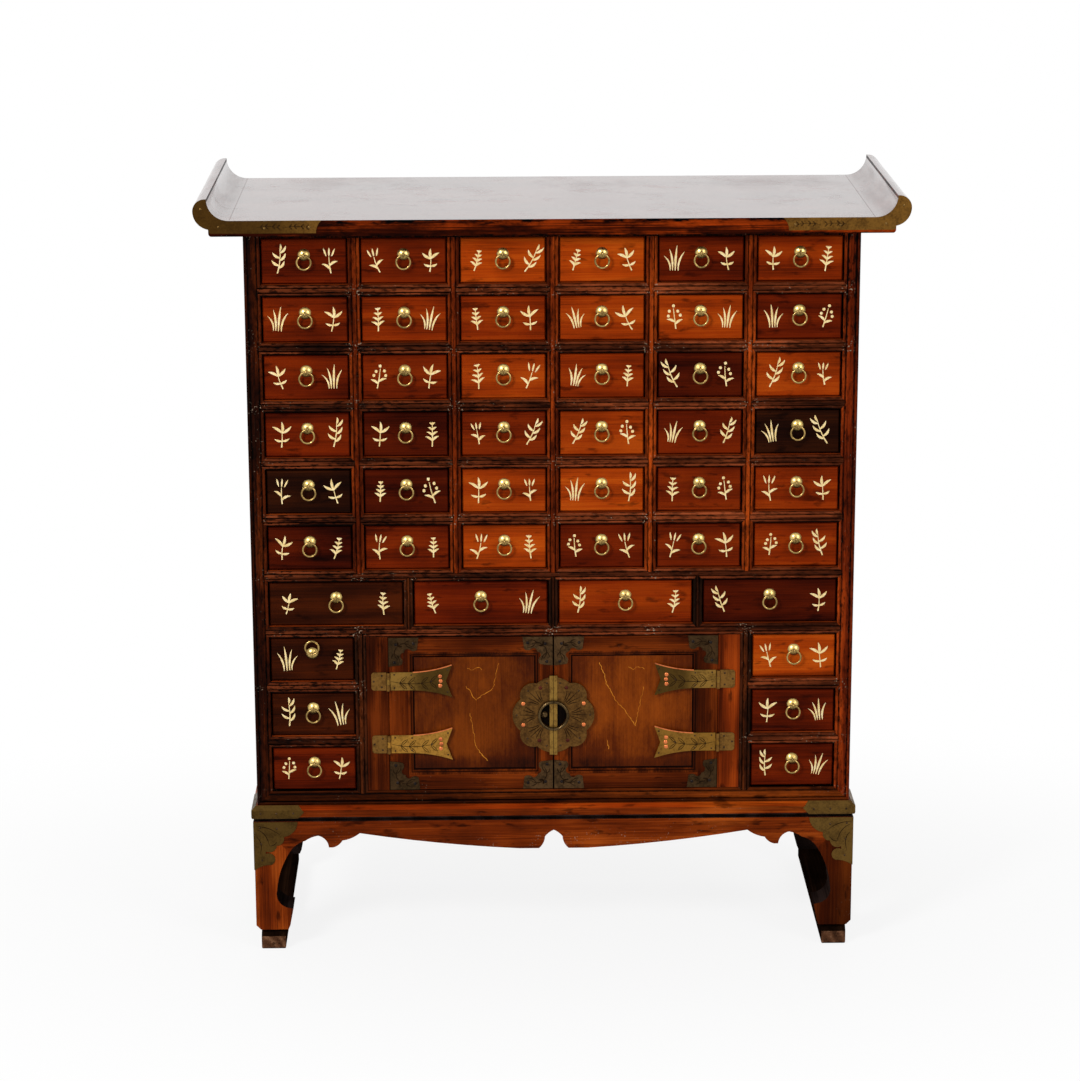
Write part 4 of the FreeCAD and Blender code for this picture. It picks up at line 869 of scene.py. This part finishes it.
def skin(mesh, rings, tip=None):
    """Walls between rings of points, a flat face over the first, and a flat face or a tip over the last."""
    rings = [[mesh.verts.new(spot) for spot in ring] for ring in rings]
    first, last = rings[0], rings[-1]
    for ring, following in zip(rings, rings[1:]):
        for side in range(len(ring)):
            mesh.faces.new((ring[side - 1], ring[side], following[side], following[side - 1]))
    mesh.faces.new(first)
    if tip is None:
        mesh.faces.new(last)
        return
    crown = mesh.verts.new(tip)
    for side in range(len(last)):
        mesh.faces.new((last[side - 1], last[side], crown))


def strip(mesh, path, widths, face_y, rise):
    """A strip along a path of (x, z) points on a face that looks to the front."""
    rings = []
    end = len(path) - 1
    front, back = face_y - rise, face_y + LET_IN
    for index, spot in enumerate(path):
        run = Vector(path[min(index + 1, end)]) - Vector(path[max(index - 1, 0)])
        across = Vector((-run.y, run.x)).normalized() * widths[index] / 2
        left, right = Vector(spot) + across, Vector(spot) - across
        corners = ((left, front), (right, front), (right, back), (left, back))
        rings.append([(side.x, y, side.y) for side, y in corners])
    skin(mesh, rings)


def bend(start, middle, end, steps=7):
    """Points along a smooth bend from a start to an end, pulled towards a middle."""
    points = []
    for step in range(steps + 1):
        part = step / steps
        weights = ((1 - part) ** 2, 2 * part * (1 - part), part ** 2)
        points.append(tuple(sum(weight * spot[axis] for weight, spot in zip(weights, (start, middle, end)))
                            for axis in (0, 1)))
    return points


def swell(count, thick, start=0.35, end=0.12, peak=0.45):
    """Widths of a brush stroke: it lands, presses and lifts."""
    widths = []
    for index in range(count):
        part = index / (count - 1)
        share = part / peak if part < peak else (1 - part) / (1 - peak)
        floor = start if part < peak else end
        widths.append(thick * (floor + (1 - floor) * math.sin(share * math.pi / 2)))
    return widths


def reach(root, angle, length):
    """The point so far from a root, at an angle from upright that is positive to the right."""
    return root[0] + math.sin(angle) * length, root[1] + math.cos(angle) * length


print("strips ready")

# %% [markdown]
# ## Painted herb sprigs
# Each drawer is told apart by two herbs, painted in cream with a brush on either side of the pull. A sprig is
# a stem and leaves, and every leaf is one press of the brush. There are six kinds of plant, and each is a
# short list of strokes. A stroke is a path about the middle of the sprig and its widths.

# %% Six plants
STEM_WIDTH, STEM_STEPS, STEM_FOOT = 0.0017, 9, -0.015
LEAF_WIDTH, LEAF_LENGTH = 0.0033, 0.012
BERRY = 0.0038
BERRIES = ((-0.0055, 0.0085), (0.005, 0.007), (0.0005, 0.0145), (-0.0075, 0.0025), (0.0075, 0.0015))
BLADES = ((-0.005, -0.42, 0.019), (-0.0022, -0.16, 0.026), (0.001, 0.05, 0.03), (0.0045, 0.3, 0.024))


def leaf(root, angle, length, curl, thick=1.0):
    """One press of the brush, from its root outwards."""
    path = bend(root, reach(root, angle + curl, length * 0.55), reach(root, angle, length))
    return path, swell(len(path), thick * LEAF_WIDTH * (0.55 + 0.45 * length / LEAF_LENGTH))


def stem(lean, high):
    path = bend((-lean * 0.4, STEM_FOOT), (lean * 0.8, (STEM_FOOT + high) / 2), (lean, high), STEM_STEPS)
    return path, [STEM_WIDTH * (1.0 - 0.5 * index / STEM_STEPS) for index in range(len(path))]


def dot(x, z):
    """A berry: one short touch of the brush."""
    path = [(x, z + BERRY / 2 * height) for height in (-1.0, -0.7, 0.0, 0.7, 1.0)]
    return path, [BERRY * share for share in (0.35, 0.8, 1.0, 0.8, 0.35)]


def fern(brush):
    spine, widths = stem(brush.uniform(-0.004, 0.004), 0.014)
    strokes = [(spine, widths)]
    for index in (2, 4, 6, 8):
        strokes += [leaf(spine[index], way * 0.95, 0.0115 - 0.0009 * index, way * -0.5) for way in (1, -1)]
    return strokes


def willow(brush):
    spine, widths = stem(brush.uniform(0.003, 0.006), 0.013)
    strokes = [(spine, widths), leaf(spine[-1], 0.2, 0.008, 0.4)]
    for index, way in ((2, 1), (3, -1), (5, 1), (6, -1), (8, 1)):
        strokes.append(leaf(spine[index], way * 0.8, 0.0115, way * 0.5))
    return strokes


def trefoil(brush):
    spine, widths = stem(brush.uniform(-0.003, 0.003), 0.002)
    strokes = [(spine, widths)]
    strokes += [leaf(spine[-1], angle, 0.0135, 0.25) for angle in (-0.95, 0.0, 0.95)]
    strokes += [leaf(spine[4], way * 1.25, 0.009, way * 0.4) for way in (-1, 1)]
    return strokes


def berry(brush):
    spine, widths = stem(brush.uniform(-0.003, 0.003), 0.011)
    strokes = [(spine, widths), leaf(spine[2], 1.1, 0.011, -0.4), leaf(spine[3], -1.1, 0.011, 0.4)]
    return strokes + [dot(spine[-1][0] + across, up) for across, up in BERRIES]


def grass(brush):
    lean = brush.uniform(-0.06, 0.06)
    return [leaf((start, -0.014), lean + turn, length, -turn * 1.2, 0.5) for start, turn, length in BLADES]


def seed_head(brush):
    spine, widths = stem(brush.uniform(-0.003, 0.003), 0.005)
    strokes = [(spine, widths), leaf(spine[2], 1.0, 0.012, -0.5), leaf(spine[4], -1.0, 0.011, 0.5)]
    x, z = spine[-1]
    return strokes + [leaf((x + way * 0.0034, z + 0.001), way * 0.35, 0.01, 0.0, 0.75) for way in (-1, 0, 1)]


SPRIGS = (fern, willow, trefoil, berry, grass, seed_head)
print(len(SPRIGS), "plants to paint")

# %% [markdown]
# A seeded hand chooses two kinds for each drawer, and leans, turns and sizes them a little, which keeps the
# forty-six drawers from looking stamped. Where strokes cross, each one lies a coat higher than the last,
# because two faces in one plane would flicker.

# %% Sprigs on the drawers
FIRST_SEED = 700
SPRIG_RISE = 0.0002
COAT = 0.00002
SPRIG_OUT, WIDE_SPRIG_OUT = 0.0335, 0.062
PAINT_TONES = ((0.44, 0.25, 0.07), (0.76, 0.54, 0.21), (0.92, 0.79, 0.48))

paint = Finish("cream_brush_paint", {"Specular IOR Level": 0.1})
drag = paint.noise(900.0, drawn("z", 2.2), 3.0, 0.6)
paint.feed({
    "Base Color": paint.ramp(drag * 0.6 + paint.noise(260.0) * 0.5, (0.3, 0.48, 0.7), PAINT_TONES),
    "Roughness": drag * 0.2 + 0.45,
    "Normal": paint.bump(drag, 0.2, 0.0003),
})

for order, (drawer, front, x, level) in enumerate(drawers):
    brush = random.Random(FIRST_SEED + order)
    z = FLOOR_Z + ROW_PITCH * level + FRONT_GAP + FRONT_HEIGHT / 2
    out = WIDE_SPRIG_OUT if drawer.startswith("wide") else SPRIG_OUT
    mesh = bmesh.new()
    for side, plant in zip((-1, 1), brush.sample(SPRIGS, 2)):
        size = brush.uniform(0.92, 1.12)
        turn = brush.uniform(-0.24, 0.24)
        flip = brush.choice((-1, 1))
        for layer, (path, widths) in enumerate(plant(brush)):
            stroke = []
            for across, up in path:
                across *= flip
                stroke.append((x + side * out + size * (across * math.cos(turn) + up * math.sin(turn)),
                               z + size * (up * math.cos(turn) - across * math.sin(turn))))
            strip(mesh, stroke, widths, FRONT_Y, SPRIG_RISE + layer * COAT)
    new_piece("sprigs_" + drawer, mesh, paint.material, drawer)
print(2 * len(drawers), "sprigs of", len(SPRIGS), "kinds")

# %% [markdown]
# ## Nails and copper dots
# The brass is held by round-headed nails, dark with age, black or rubbed bright, and some heads on the lock
# and the straps are copper or maroon. A head is a low dome, flat behind. It is built from rings, so that one
# routine serves big and small heads on the front and on the sides.

# %% Nail heads
NAILS = {
    "copper": ((0.66, 0.185, 0.06), (0.3, 0.07, 0.026), 0.35, 0.32, 0.1),
    "maroon": ((0.085, 0.02, 0.012), (0.035, 0.01, 0.007), 0.6, 0.4, 0.2),
    "dark_nail": ((0.06, 0.034, 0.017), (0.02, 0.011, 0.007), 0.7, 0.3, 0.2),
    "black_nail": ((0.02, 0.015, 0.013), (0.007, 0.005, 0.005), 0.5, 0.24, 0.1),
    "rubbed_nail": ((0.17, 0.095, 0.028), (0.07, 0.036, 0.01), 0.5, 0.34, 0.1),
}
nail_brasses = {name: brass(name + "_heads", *recipe) for name, recipe in NAILS.items()}
HEAD_SIDES = 12
HEAD_RINGS = ((1.0, -0.08), (1.0, 0.12), (0.86, 0.55), (0.52, 0.9))


def head(mesh, spot, facing, radius, height):
    """A nail head at a spot on a face that looks along a direction."""
    spot, facing = Vector(spot), Vector(facing)
    across = Vector(AXES["z"]).cross(facing).normalized()
    upward = facing.cross(across)
    turns = [math.tau * side / HEAD_SIDES for side in range(HEAD_SIDES)]
    rims = [across * math.cos(turn) + upward * math.sin(turn) for turn in turns]
    skin(mesh, [[spot + rim * radius * spread + facing * height * lift for rim in rims]
                for spread, lift in HEAD_RINGS], spot + facing * height)


def heads(name, spots, size, nail, body, slot, facing=(0.0, -1.0, 0.0)):
    """One piece with a head at every spot. The size is a radius and a height."""
    mesh = bmesh.new()
    for spot in spots:
        head(mesh, spot, facing, *size)
    for face in new_piece(name, mesh, nail_brasses[nail], body).data.polygons:
        face.use_smooth = True


def placed(paths, places, sign):
    """Paths drawn about a point of a mount, laid at each of the mount's places on one half of the front."""
    return [[(sign * (x + way * across), z + rise * up) for across, up in path]
            for x, z, way, rise in places for path in paths]


print(len(nail_brasses), "kinds of nail")

# %% [markdown]
# Every mount has its own pattern of nails, given once about a corner, a hinge pin or the lock. A place is
# where that point lies on the front, and which way the pattern runs from it, so mirrored mounts share one
# pattern.

# %% Nails of the doors, the top and the stand
TACK = (0.0014, 0.0007)
CORNER_FRONT = -0.156
CORNER_PLACES = [(x, z, way, rise) for x, way in ((DOOR_OUTER, -1), (DOOR_INNER, 1))
                 for z, rise in ((DOOR_HIGH, -1), (DOOR_LOW, 1))]
CORNER_NAILS = ((0.0096, 0.0093), (0.0325, 0.008), (0.0075, 0.0335))
HINGE_PLACES = [(HINGE_X, z, -1, 1) for z in (0.283, 0.369)]
LEAF_NAILS = ((-0.0085, 0.0078), (-0.0085, -0.0078), (-0.019, 0.0))
STRAP_NAILS = ((0.008, 0.009), (0.008, -0.009), (0.03, 0.0085), (0.03, -0.0085), (0.056, 0.0), (0.077, 0.015),
               (0.077, -0.015))
STRAP_DOTS = ((0.0675, 0.0064), (0.0682, 0.0), (0.0675, -0.0064))
LOCK_PLACES = [(0.0, LOCK_Z, 1, 1)]
LOCK_COPPER = ((0.0395, 0.0155), (0.0395, -0.0135))
LOCK_MAROON = ((0.017, 0.037), (0.0185, -0.035))
LOCK_NAILS = ((0.0085, 0.0435), (0.009, -0.042), (0.033, 0.033), (0.034, -0.032), (0.048, 0.0))
DOOR_NAILS = {
    "door_corner_nails": ("black_nail", (0.0021, 0.0011), (CORNER_FRONT, CORNER_NAILS, CORNER_PLACES)),
    "strap_nails": ("dark_nail", (0.0012, 0.0006), (PLATE_FRONT, STRAP_NAILS, HINGE_PLACES)),
    "leaf_nails": ("dark_nail", TACK, (PLATE_FRONT, LEAF_NAILS, HINGE_PLACES)),
    "copper_heads": ("copper", (0.0027, 0.0008), (PLATE_FRONT, STRAP_DOTS, HINGE_PLACES),
                     (PLATE_FRONT, LOCK_COPPER, LOCK_PLACES)),
    "maroon_heads": ("maroon", (0.0026, 0.0008), (PLATE_FRONT, LOCK_MAROON, LOCK_PLACES)),
    "lock_nails": ("dark_nail", TACK, (PLATE_FRONT, LOCK_NAILS, LOCK_PLACES)),
}
END_FRONT = -0.178
END_PLACES = [(0.405, 0.9784, 1, 1)]
END_NAILS = ((0.0345, 0.015), (0.0126, -0.0078), (-0.0445, -0.0095), (-0.101, -0.0085))
WRAP_OUT, WRAP_Z = 0.0028, 0.1912
WRAP_HALF, WRAP_FRONT = STAND_HALF + WRAP_OUT, STAND_FRONT - WRAP_OUT
WRAP_NAILS = ((0.012, 0.0), (0.033, 0.0), (0.055, 0.0))
BRACKET_THICK, BRACKET_TOP = 0.0009, 0.1786
BRACKET_FRONT = STAND_FRONT - BRACKET_THICK
BRACKET_PLACES = [(STAND_HALF, BRACKET_TOP, -1, 1)]
BRACKET_NAILS = ((0.008, -0.008), (0.03, -0.009), (0.009, -0.03), (0.01, -0.053))
CHEST_NAILS = {
    "end_plate_nails": ("rubbed_nail", (0.0016, 0.0008), (END_FRONT, END_NAILS, END_PLACES)),
    "stand_nails": ("dark_nail", TACK, (WRAP_FRONT, WRAP_NAILS, [(WRAP_HALF, WRAP_Z, -1, 1)]),
                    (BRACKET_FRONT, BRACKET_NAILS, BRACKET_PLACES)),
}


def drive(hand, sign, sets):
    """Drive sets of nails into one half of the front. Hinge leaves are nailed to the frame, not to a door."""
    for name, (nail, size, *patterns) in sets.items():
        on_door = name in DOOR_NAILS and name != "leaf_nails"
        spots = [(x, y, z) for y, nails, places in patterns
                 for path in placed([nails], places, sign) for x, z in path]
        heads(f"{hand}_{name}", spots, size, nail, f"{hand}_door" if on_door else "cabinet",
              "copper" if nail == "copper" else "aged_brass")


for hand, sign in HANDS:
    drive(hand, sign, DOOR_NAILS)
for hand, sign in HANDS:
    drive(hand, sign, CHEST_NAILS)
    sides = [(sign * WRAP_HALF, WRAP_FRONT + back, WRAP_Z + up) for back, up in WRAP_NAILS]
    sides += [(sign * (STAND_HALF + BRACKET_THICK), STAND_FRONT + back, BRACKET_TOP + up)
              for back, up in BRACKET_NAILS]
    heads(f"{hand}_stand_side_nails", sides, TACK, "dark_nail", "cabinet", "aged_brass", (sign, 0.0, 0.0))
print(len(DOOR_NAILS) + len(CHEST_NAILS) + 1, "sets of nails driven on each half")

# %% [markdown]
# ## Engraving
# A chisel point has cut the brass: veins across the petals of the lock plate, tendrils on the corner plates,
# sprays along the straps and the end plates, and curls on the brackets. The cuts are filled with dark wax, so
# they read as thin dark lines. They are strips again, about a millimetre wide, just proud of the plate so
# that they show in the exported mesh.

# %% Cuts
wax = brass("engraving_wax", (0.018, 0.0085, 0.0036), (0.008, 0.0038, 0.0018), 0.6, 0.5, 0.1)
CUT_RISE, CUT_STEP, CUT_LAYERS = 0.00004, 0.000005, 12
VEINS = ((-0.3, 0.86), (-0.17, 0.92), (0.0, 1.0), (0.17, 0.92), (0.3, 0.86))
VEIN_START, VEIN_REACH = 0.0235, 0.044
CENTRE = (0.0, 0.0)
BAR_CLEAR = 0.0065
SIDEWAYS = math.pi / 2


def spray(root, angle, length, pairs, leaf_length):
    """A stem with pairs of leaf-shaped cuts, as paths about a mount's own point."""
    spine = bend(root, reach(root, angle + 0.25, length * 0.5), reach(root, angle, length), 10)
    cuts = [spine]
    for pair in range(pairs):
        spot = spine[2 + round(pair * 7 / max(pairs - 1, 1))]
        for way in (-1, 1):
            tip = reach(spot, angle + way * 0.75, leaf_length)
            for belly in (0.45, 1.15):
                cuts.append(bend(spot, reach(spot, angle + way * belly, leaf_length * 0.6), tip, 5))
    return cuts


def petal_veins():
    """Veins that fan from the grip to the petals' rims on one half of the lock plate, clear of the bar."""
    cuts = []
    for step in range(-2, 3):
        petal = SIDEWAYS - step * math.pi / 4
        for spread, share in VEINS:
            turn = petal - spread * 0.55
            start, middle = (reach(CENTRE, turn, length) for length in (VEIN_START, VEIN_REACH * 0.66))
            path = bend(start, middle, reach(CENTRE, petal - spread, VEIN_REACH * share), 6)
            if min(across for across, up in path) > BAR_CLEAR:
                cuts.append(path)
    return cuts


def engrave(name, cuts, face_y, body, width):
    mesh = bmesh.new()
    for layer, path in enumerate(cuts):
        rise = CUT_RISE + layer % CUT_LAYERS * CUT_STEP
        strip(mesh, path, swell(len(path), width, 0.5, 0.35), face_y, rise)
    new_piece(name, mesh, wax, body)


print("cuts ready")

# %% [markdown]
# A pattern is drawn once about a mount's own point and laid at the mount's places, as the nails were. On a
# corner plate each curl has a twin that is mirrored across the corner, which a swap of its two coordinates
# gives.

# %% Engraved plates
CURLS = (
    ((0.012, 0.012), (0.019, 0.0035), (0.03, 0.0118), 9),
    ((0.02, 0.0085), (0.024, 0.0035), (0.028, 0.004), 6),
    ((0.022, 0.0085), (0.026, 0.015), (0.033, 0.014), 6),
)
BRACKET_CURLS = (
    ((0.003, -0.006), (0.02, -0.0055), (0.034, -0.018), 8),
    ((0.004, -0.01), (0.017, -0.015), (0.02, -0.033), 8),
    ((0.003, -0.02), (0.013, -0.029), (0.007, -0.046), 8),
    ((0.02, -0.033), (0.027, -0.033), (0.03, -0.027), 6),
)
tendrils = spray((0.012, 0.012), 0.75 * math.pi, 0.001, 1, 0.006)
for curl in CURLS:
    path = bend(*curl)
    tendrils += [path, [(up, across) for across, up in path]]
strap_spray = spray((0.004, 0.0), SIDEWAYS, 0.056, 4, 0.0128)
end_sprays = spray((-0.034, -0.009), -SIDEWAYS, 0.03, 4, 0.005)
end_sprays += spray((-0.07, -0.009), -SIDEWAYS, 0.03, 4, 0.005)
bracket_curls = [bend(*curl) for curl in BRACKET_CURLS]
ENGRAVINGS = {
    "lock_veins": (petal_veins(), LOCK_PLACES, PLATE_FRONT, 0.0011),
    "strap_engraving": (strap_spray, HINGE_PLACES, PLATE_FRONT, 0.0009),
    "corner_engraving": (tendrils, CORNER_PLACES, CORNER_FRONT, 0.0012),
    "end_plate_engraving": (end_sprays, END_PLACES, END_FRONT, 0.00062),
    "bracket_engraving": (bracket_curls, BRACKET_PLACES, BRACKET_FRONT, 0.001),
}
for hand, sign in HANDS:
    for name, (cuts, places, face_y, width) in ENGRAVINGS.items():
        body = "cabinet" if places in (END_PLACES, BRACKET_PLACES) else f"{hand}_door"
        engrave(f"{hand}_{name}", placed(cuts, places, sign), face_y, body, width)
print("plates engraved")

# %% [markdown]
# ## Copper edges and the lock's hollow
# Each strap lies on a copper sheet that shows as a bright line along the upper edge of the tail. Behind the
# round grip the lock plate is cut open, and a thin black disc in the hollow paints the shade there. Both are
# thin flat pieces that swing with their door.

# %% Strap edges and lock hollow
# Painted shade: a black disc for the dark hollow behind the grip.
hollow_shade = wood("lock_hollow_shade", "z", ((0.0015, 0.0008, 0.0005), (0.004, 0.0018, 0.001), (0.01, 0.004, 0.002)),
              0.3, gloss=0.02, rough=0.7)
TAIL = bend((0.032, 0.01225), (0.0575, 0.013), (0.0826, 0.0218), 12)
TAIL_EDGE, TAIL_RISE = 0.0013, 0.0014
HOLLOW_RADIUS, HOLLOW_RISE, HOLLOW_STEPS = 0.0166, 0.0004, 18

for hand, sign in HANDS:
    mesh = bmesh.new()
    for tail in placed([TAIL], HINGE_PLACES, sign):
        strip(mesh, tail, [TAIL_EDGE] * len(tail), DOOR_FRONT, TAIL_RISE)
    new_piece(f"{hand}_strap_copper_edges", mesh, nail_brasses["copper"], f"{hand}_door")
    rim = []
    for step in range(HOLLOW_STEPS + 1):
        across, up = reach(CENTRE, math.pi * (1 - step / HOLLOW_STEPS), HOLLOW_RADIUS)
        rim.append((sign * max(across, DOOR_INNER + EDGE), LOCK_Z + up))
    mesh = bmesh.new()
    skin(mesh, [[(x, y, z) for x, z in rim] for y in (DOOR_FRONT - HOLLOW_RISE, DOOR_FRONT + LET_IN)])
    new_piece(f"{hand}_lock_hollow_shade", mesh, hollow_shade, f"{hand}_door")
print("strap edges and lock hollow made")

# %% [markdown]
# ## Growth lines in the veneer
# Where a growth ring just touches the surface of the veneer, it shows as a thin, jagged, yellow line. The
# line's course is given by a few points, and a seeded hand breaks it into small steps between them.

# %% Growth lines
line_wood = wood("veneer_growth_line", "z", ((0.26, 0.07, 0.006), (0.5, 0.165, 0.014), (0.68, 0.27, 0.028)),
                 0.2)
COURSES = {
    "left_door": (((-0.071, 0.391), (-0.079, 0.356), (-0.092, 0.348), (-0.101, 0.341), (-0.114, 0.36)),
                  ((-0.112, 0.3845), (-0.104, 0.382), (-0.0985, 0.386), (-0.093, 0.383)),
                  ((-0.109, 0.323), (-0.101, 0.276), (-0.093, 0.265), (-0.086, 0.258))),
    "right_door": (((0.06, 0.391), (0.0664, 0.375), (0.0694, 0.3619), (0.0819, 0.3393), (0.0976, 0.3199),
                    (0.107, 0.3037), (0.113, 0.333), (0.1179, 0.3587)),
                   ((0.098, 0.3845), (0.104, 0.381), (0.111, 0.385), (0.119, 0.382)),
                   ((0.071, 0.2843), (0.0722, 0.278), (0.0718, 0.2714))),
}
PANEL_FRONT = -0.151
LINE_WIDTH, LINE_RISE = 0.001, 0.00003
LINE_STEP, LINE_STRAY = 0.003, 0.0009
LINE_SEED = 31

knife = random.Random(LINE_SEED)
for body, courses in COURSES.items():
    mesh = bmesh.new()
    for course in courses:
        path = [course[0]]
        for start, end in zip(course, course[1:]):
            steps = max(2, round(math.dist(start, end) / LINE_STEP))
            for step in range(1, steps + 1):
                share = step / steps
                path.append(tuple(here + (there - here) * share + knife.uniform(-LINE_STRAY, LINE_STRAY)
                                  for here, there in zip(start, end)))
        widths = [LINE_WIDTH * knife.uniform(0.25, 1.0) for _ in path]
        strip(mesh, path, widths, PANEL_FRONT, LINE_RISE)
    new_piece(body + "_growth_lines", mesh, line_wood, body)
print("growth lines laid")

# %% [markdown]
# ## Studio
# A pale floor runs past the edge of the picture. Two soft boxes in front light the wood at a plain level, and
# a high one behind lights the back. The floor and the sky show white to the camera and to reflections, so the
# glossy top mirrors the pale room, no extra light is needed for a white ground, and the floor keeps a soft
# shadow.

# %% Floor, sky and lamps
scene = bpy.context.scene
scene.view_settings.view_transform = "Standard"
WHITE = (1.0, 1.0, 1.0)
FLOOR_SIZE = 60.0


def to_the_eye(finish):
    """1 for rays that the camera sees, straight on or mirrored, and 0 for rays that only carry light."""
    seen, mirrored, through = (finish.add("LightPath", {}, {}, f"Is {kind} Ray")
                               for kind in ("Camera", "Glossy", "Transmission"))
    return (seen + mirrored + through).capped()


bpy.ops.mesh.primitive_plane_add(size=FLOOR_SIZE, location=(0.0, 0.0, 0.0))
floor = bpy.context.object
floor.name = "studio_floor"
ground = Finish("studio_floor", {
    "Roughness": 0.9, "Specular IOR Level": 0.0, "Base Color": (0.86, 0.86, 0.86)})
far = ground.add("VectorMath", {"operation": "LENGTH"}, {0: ground.place((0.9, 1.5, 0.0))}, "Value")
white = ground.add("Emission", {}, {"Color": WHITE, "Strength": 1.0})
lit = Socket(ground, ground.shader.outputs[0])
share = to_the_eye(ground) * (far.between(0.2, 1.3) * 0.14 + 0.86)
surface = ground.add("MixShader", {}, {0: share, 1: lit, 2: white})
ground.link(ground.tree.nodes["Material Output"].inputs["Surface"], surface)
floor.data.materials.append(ground.material)


class Sky(Finish):
    """The world's node tree, with the same helpers as a finish."""

    def __init__(self, world):
        self.tree = world.node_tree
        self.shader = self.tree.nodes["Background"]


world = bpy.data.worlds.new("studio_sky")
world.use_nodes = True
scene.world = world
sky = Sky(world)
sky.feed({"Color": WHITE, "Strength": to_the_eye(sky) * 0.75 + 0.25})


def soft_box(name, place, target, size, watts):
    lamp = bpy.data.lights.new(name, "AREA")
    lamp.shape = "RECTANGLE"
    lamp.size, lamp.size_y = size
    lamp.energy = watts
    box = bpy.data.objects.new(name, lamp)
    box.location = place
    box.rotation_euler = (Vector(target) - Vector(place)).to_track_quat("-Z", "Y").to_euler()
    scene.collection.objects.link(box)


soft_box("left_soft_box", (-2.2, -2.9, 2.6), (0.0, 0.0, 0.55), (0.9, 1.1), 105.0)
soft_box("right_soft_box", (2.6, -2.9, 2.0), (0.0, 0.0, 0.55), (1.4, 1.8), 45.0)
soft_box("back_soft_box", (0.0, 3.0, 3.6), (0.0, 0.0, 0.5), (3.0, 1.4), 40.0)
print("studio lit")

# %% [markdown]
# ## Camera
# The camera stands where the photographer stood: at eye height, a little left of the middle, looking down by
# about fifteen degrees through a long lens. The numbers come from fitting the chest's known edges.

# %% Camera
EYE = (-0.08859, -4.30323, 1.65436)
PITCH, YAW, ROLL = (math.radians(angle) for angle in (14.815, 0.991, -0.182))
FOCAL_PIXELS, FRAME_PIXELS = 3330.54, 1081.0
SENSOR = 36.0

ahead = Vector((math.sin(YAW) * math.cos(PITCH), math.cos(YAW) * math.cos(PITCH), -math.sin(PITCH)))
level = Vector((math.cos(YAW), -math.sin(YAW), 0.0))
above = level.cross(ahead)
rightward = level * math.cos(ROLL) + above * math.sin(ROLL)
upward = above * math.cos(ROLL) - level * math.sin(ROLL)
lens = bpy.data.cameras.new("camera")
lens.sensor_fit = "AUTO"
lens.sensor_width = SENSOR
lens.lens = FOCAL_PIXELS * SENSOR / FRAME_PIXELS
camera = bpy.data.objects.new("camera", lens)
turn = Matrix((rightward, upward, -ahead)).transposed().to_4x4()
camera.matrix_world = Matrix.Translation(EYE) @ turn
scene.collection.objects.link(camera)
scene.camera = camera
print("camera lens", round(lens.lens, 1), "mm")

# %% [markdown]
# Finishing must not change the chest's size.

# %% End
print("dressing finished")
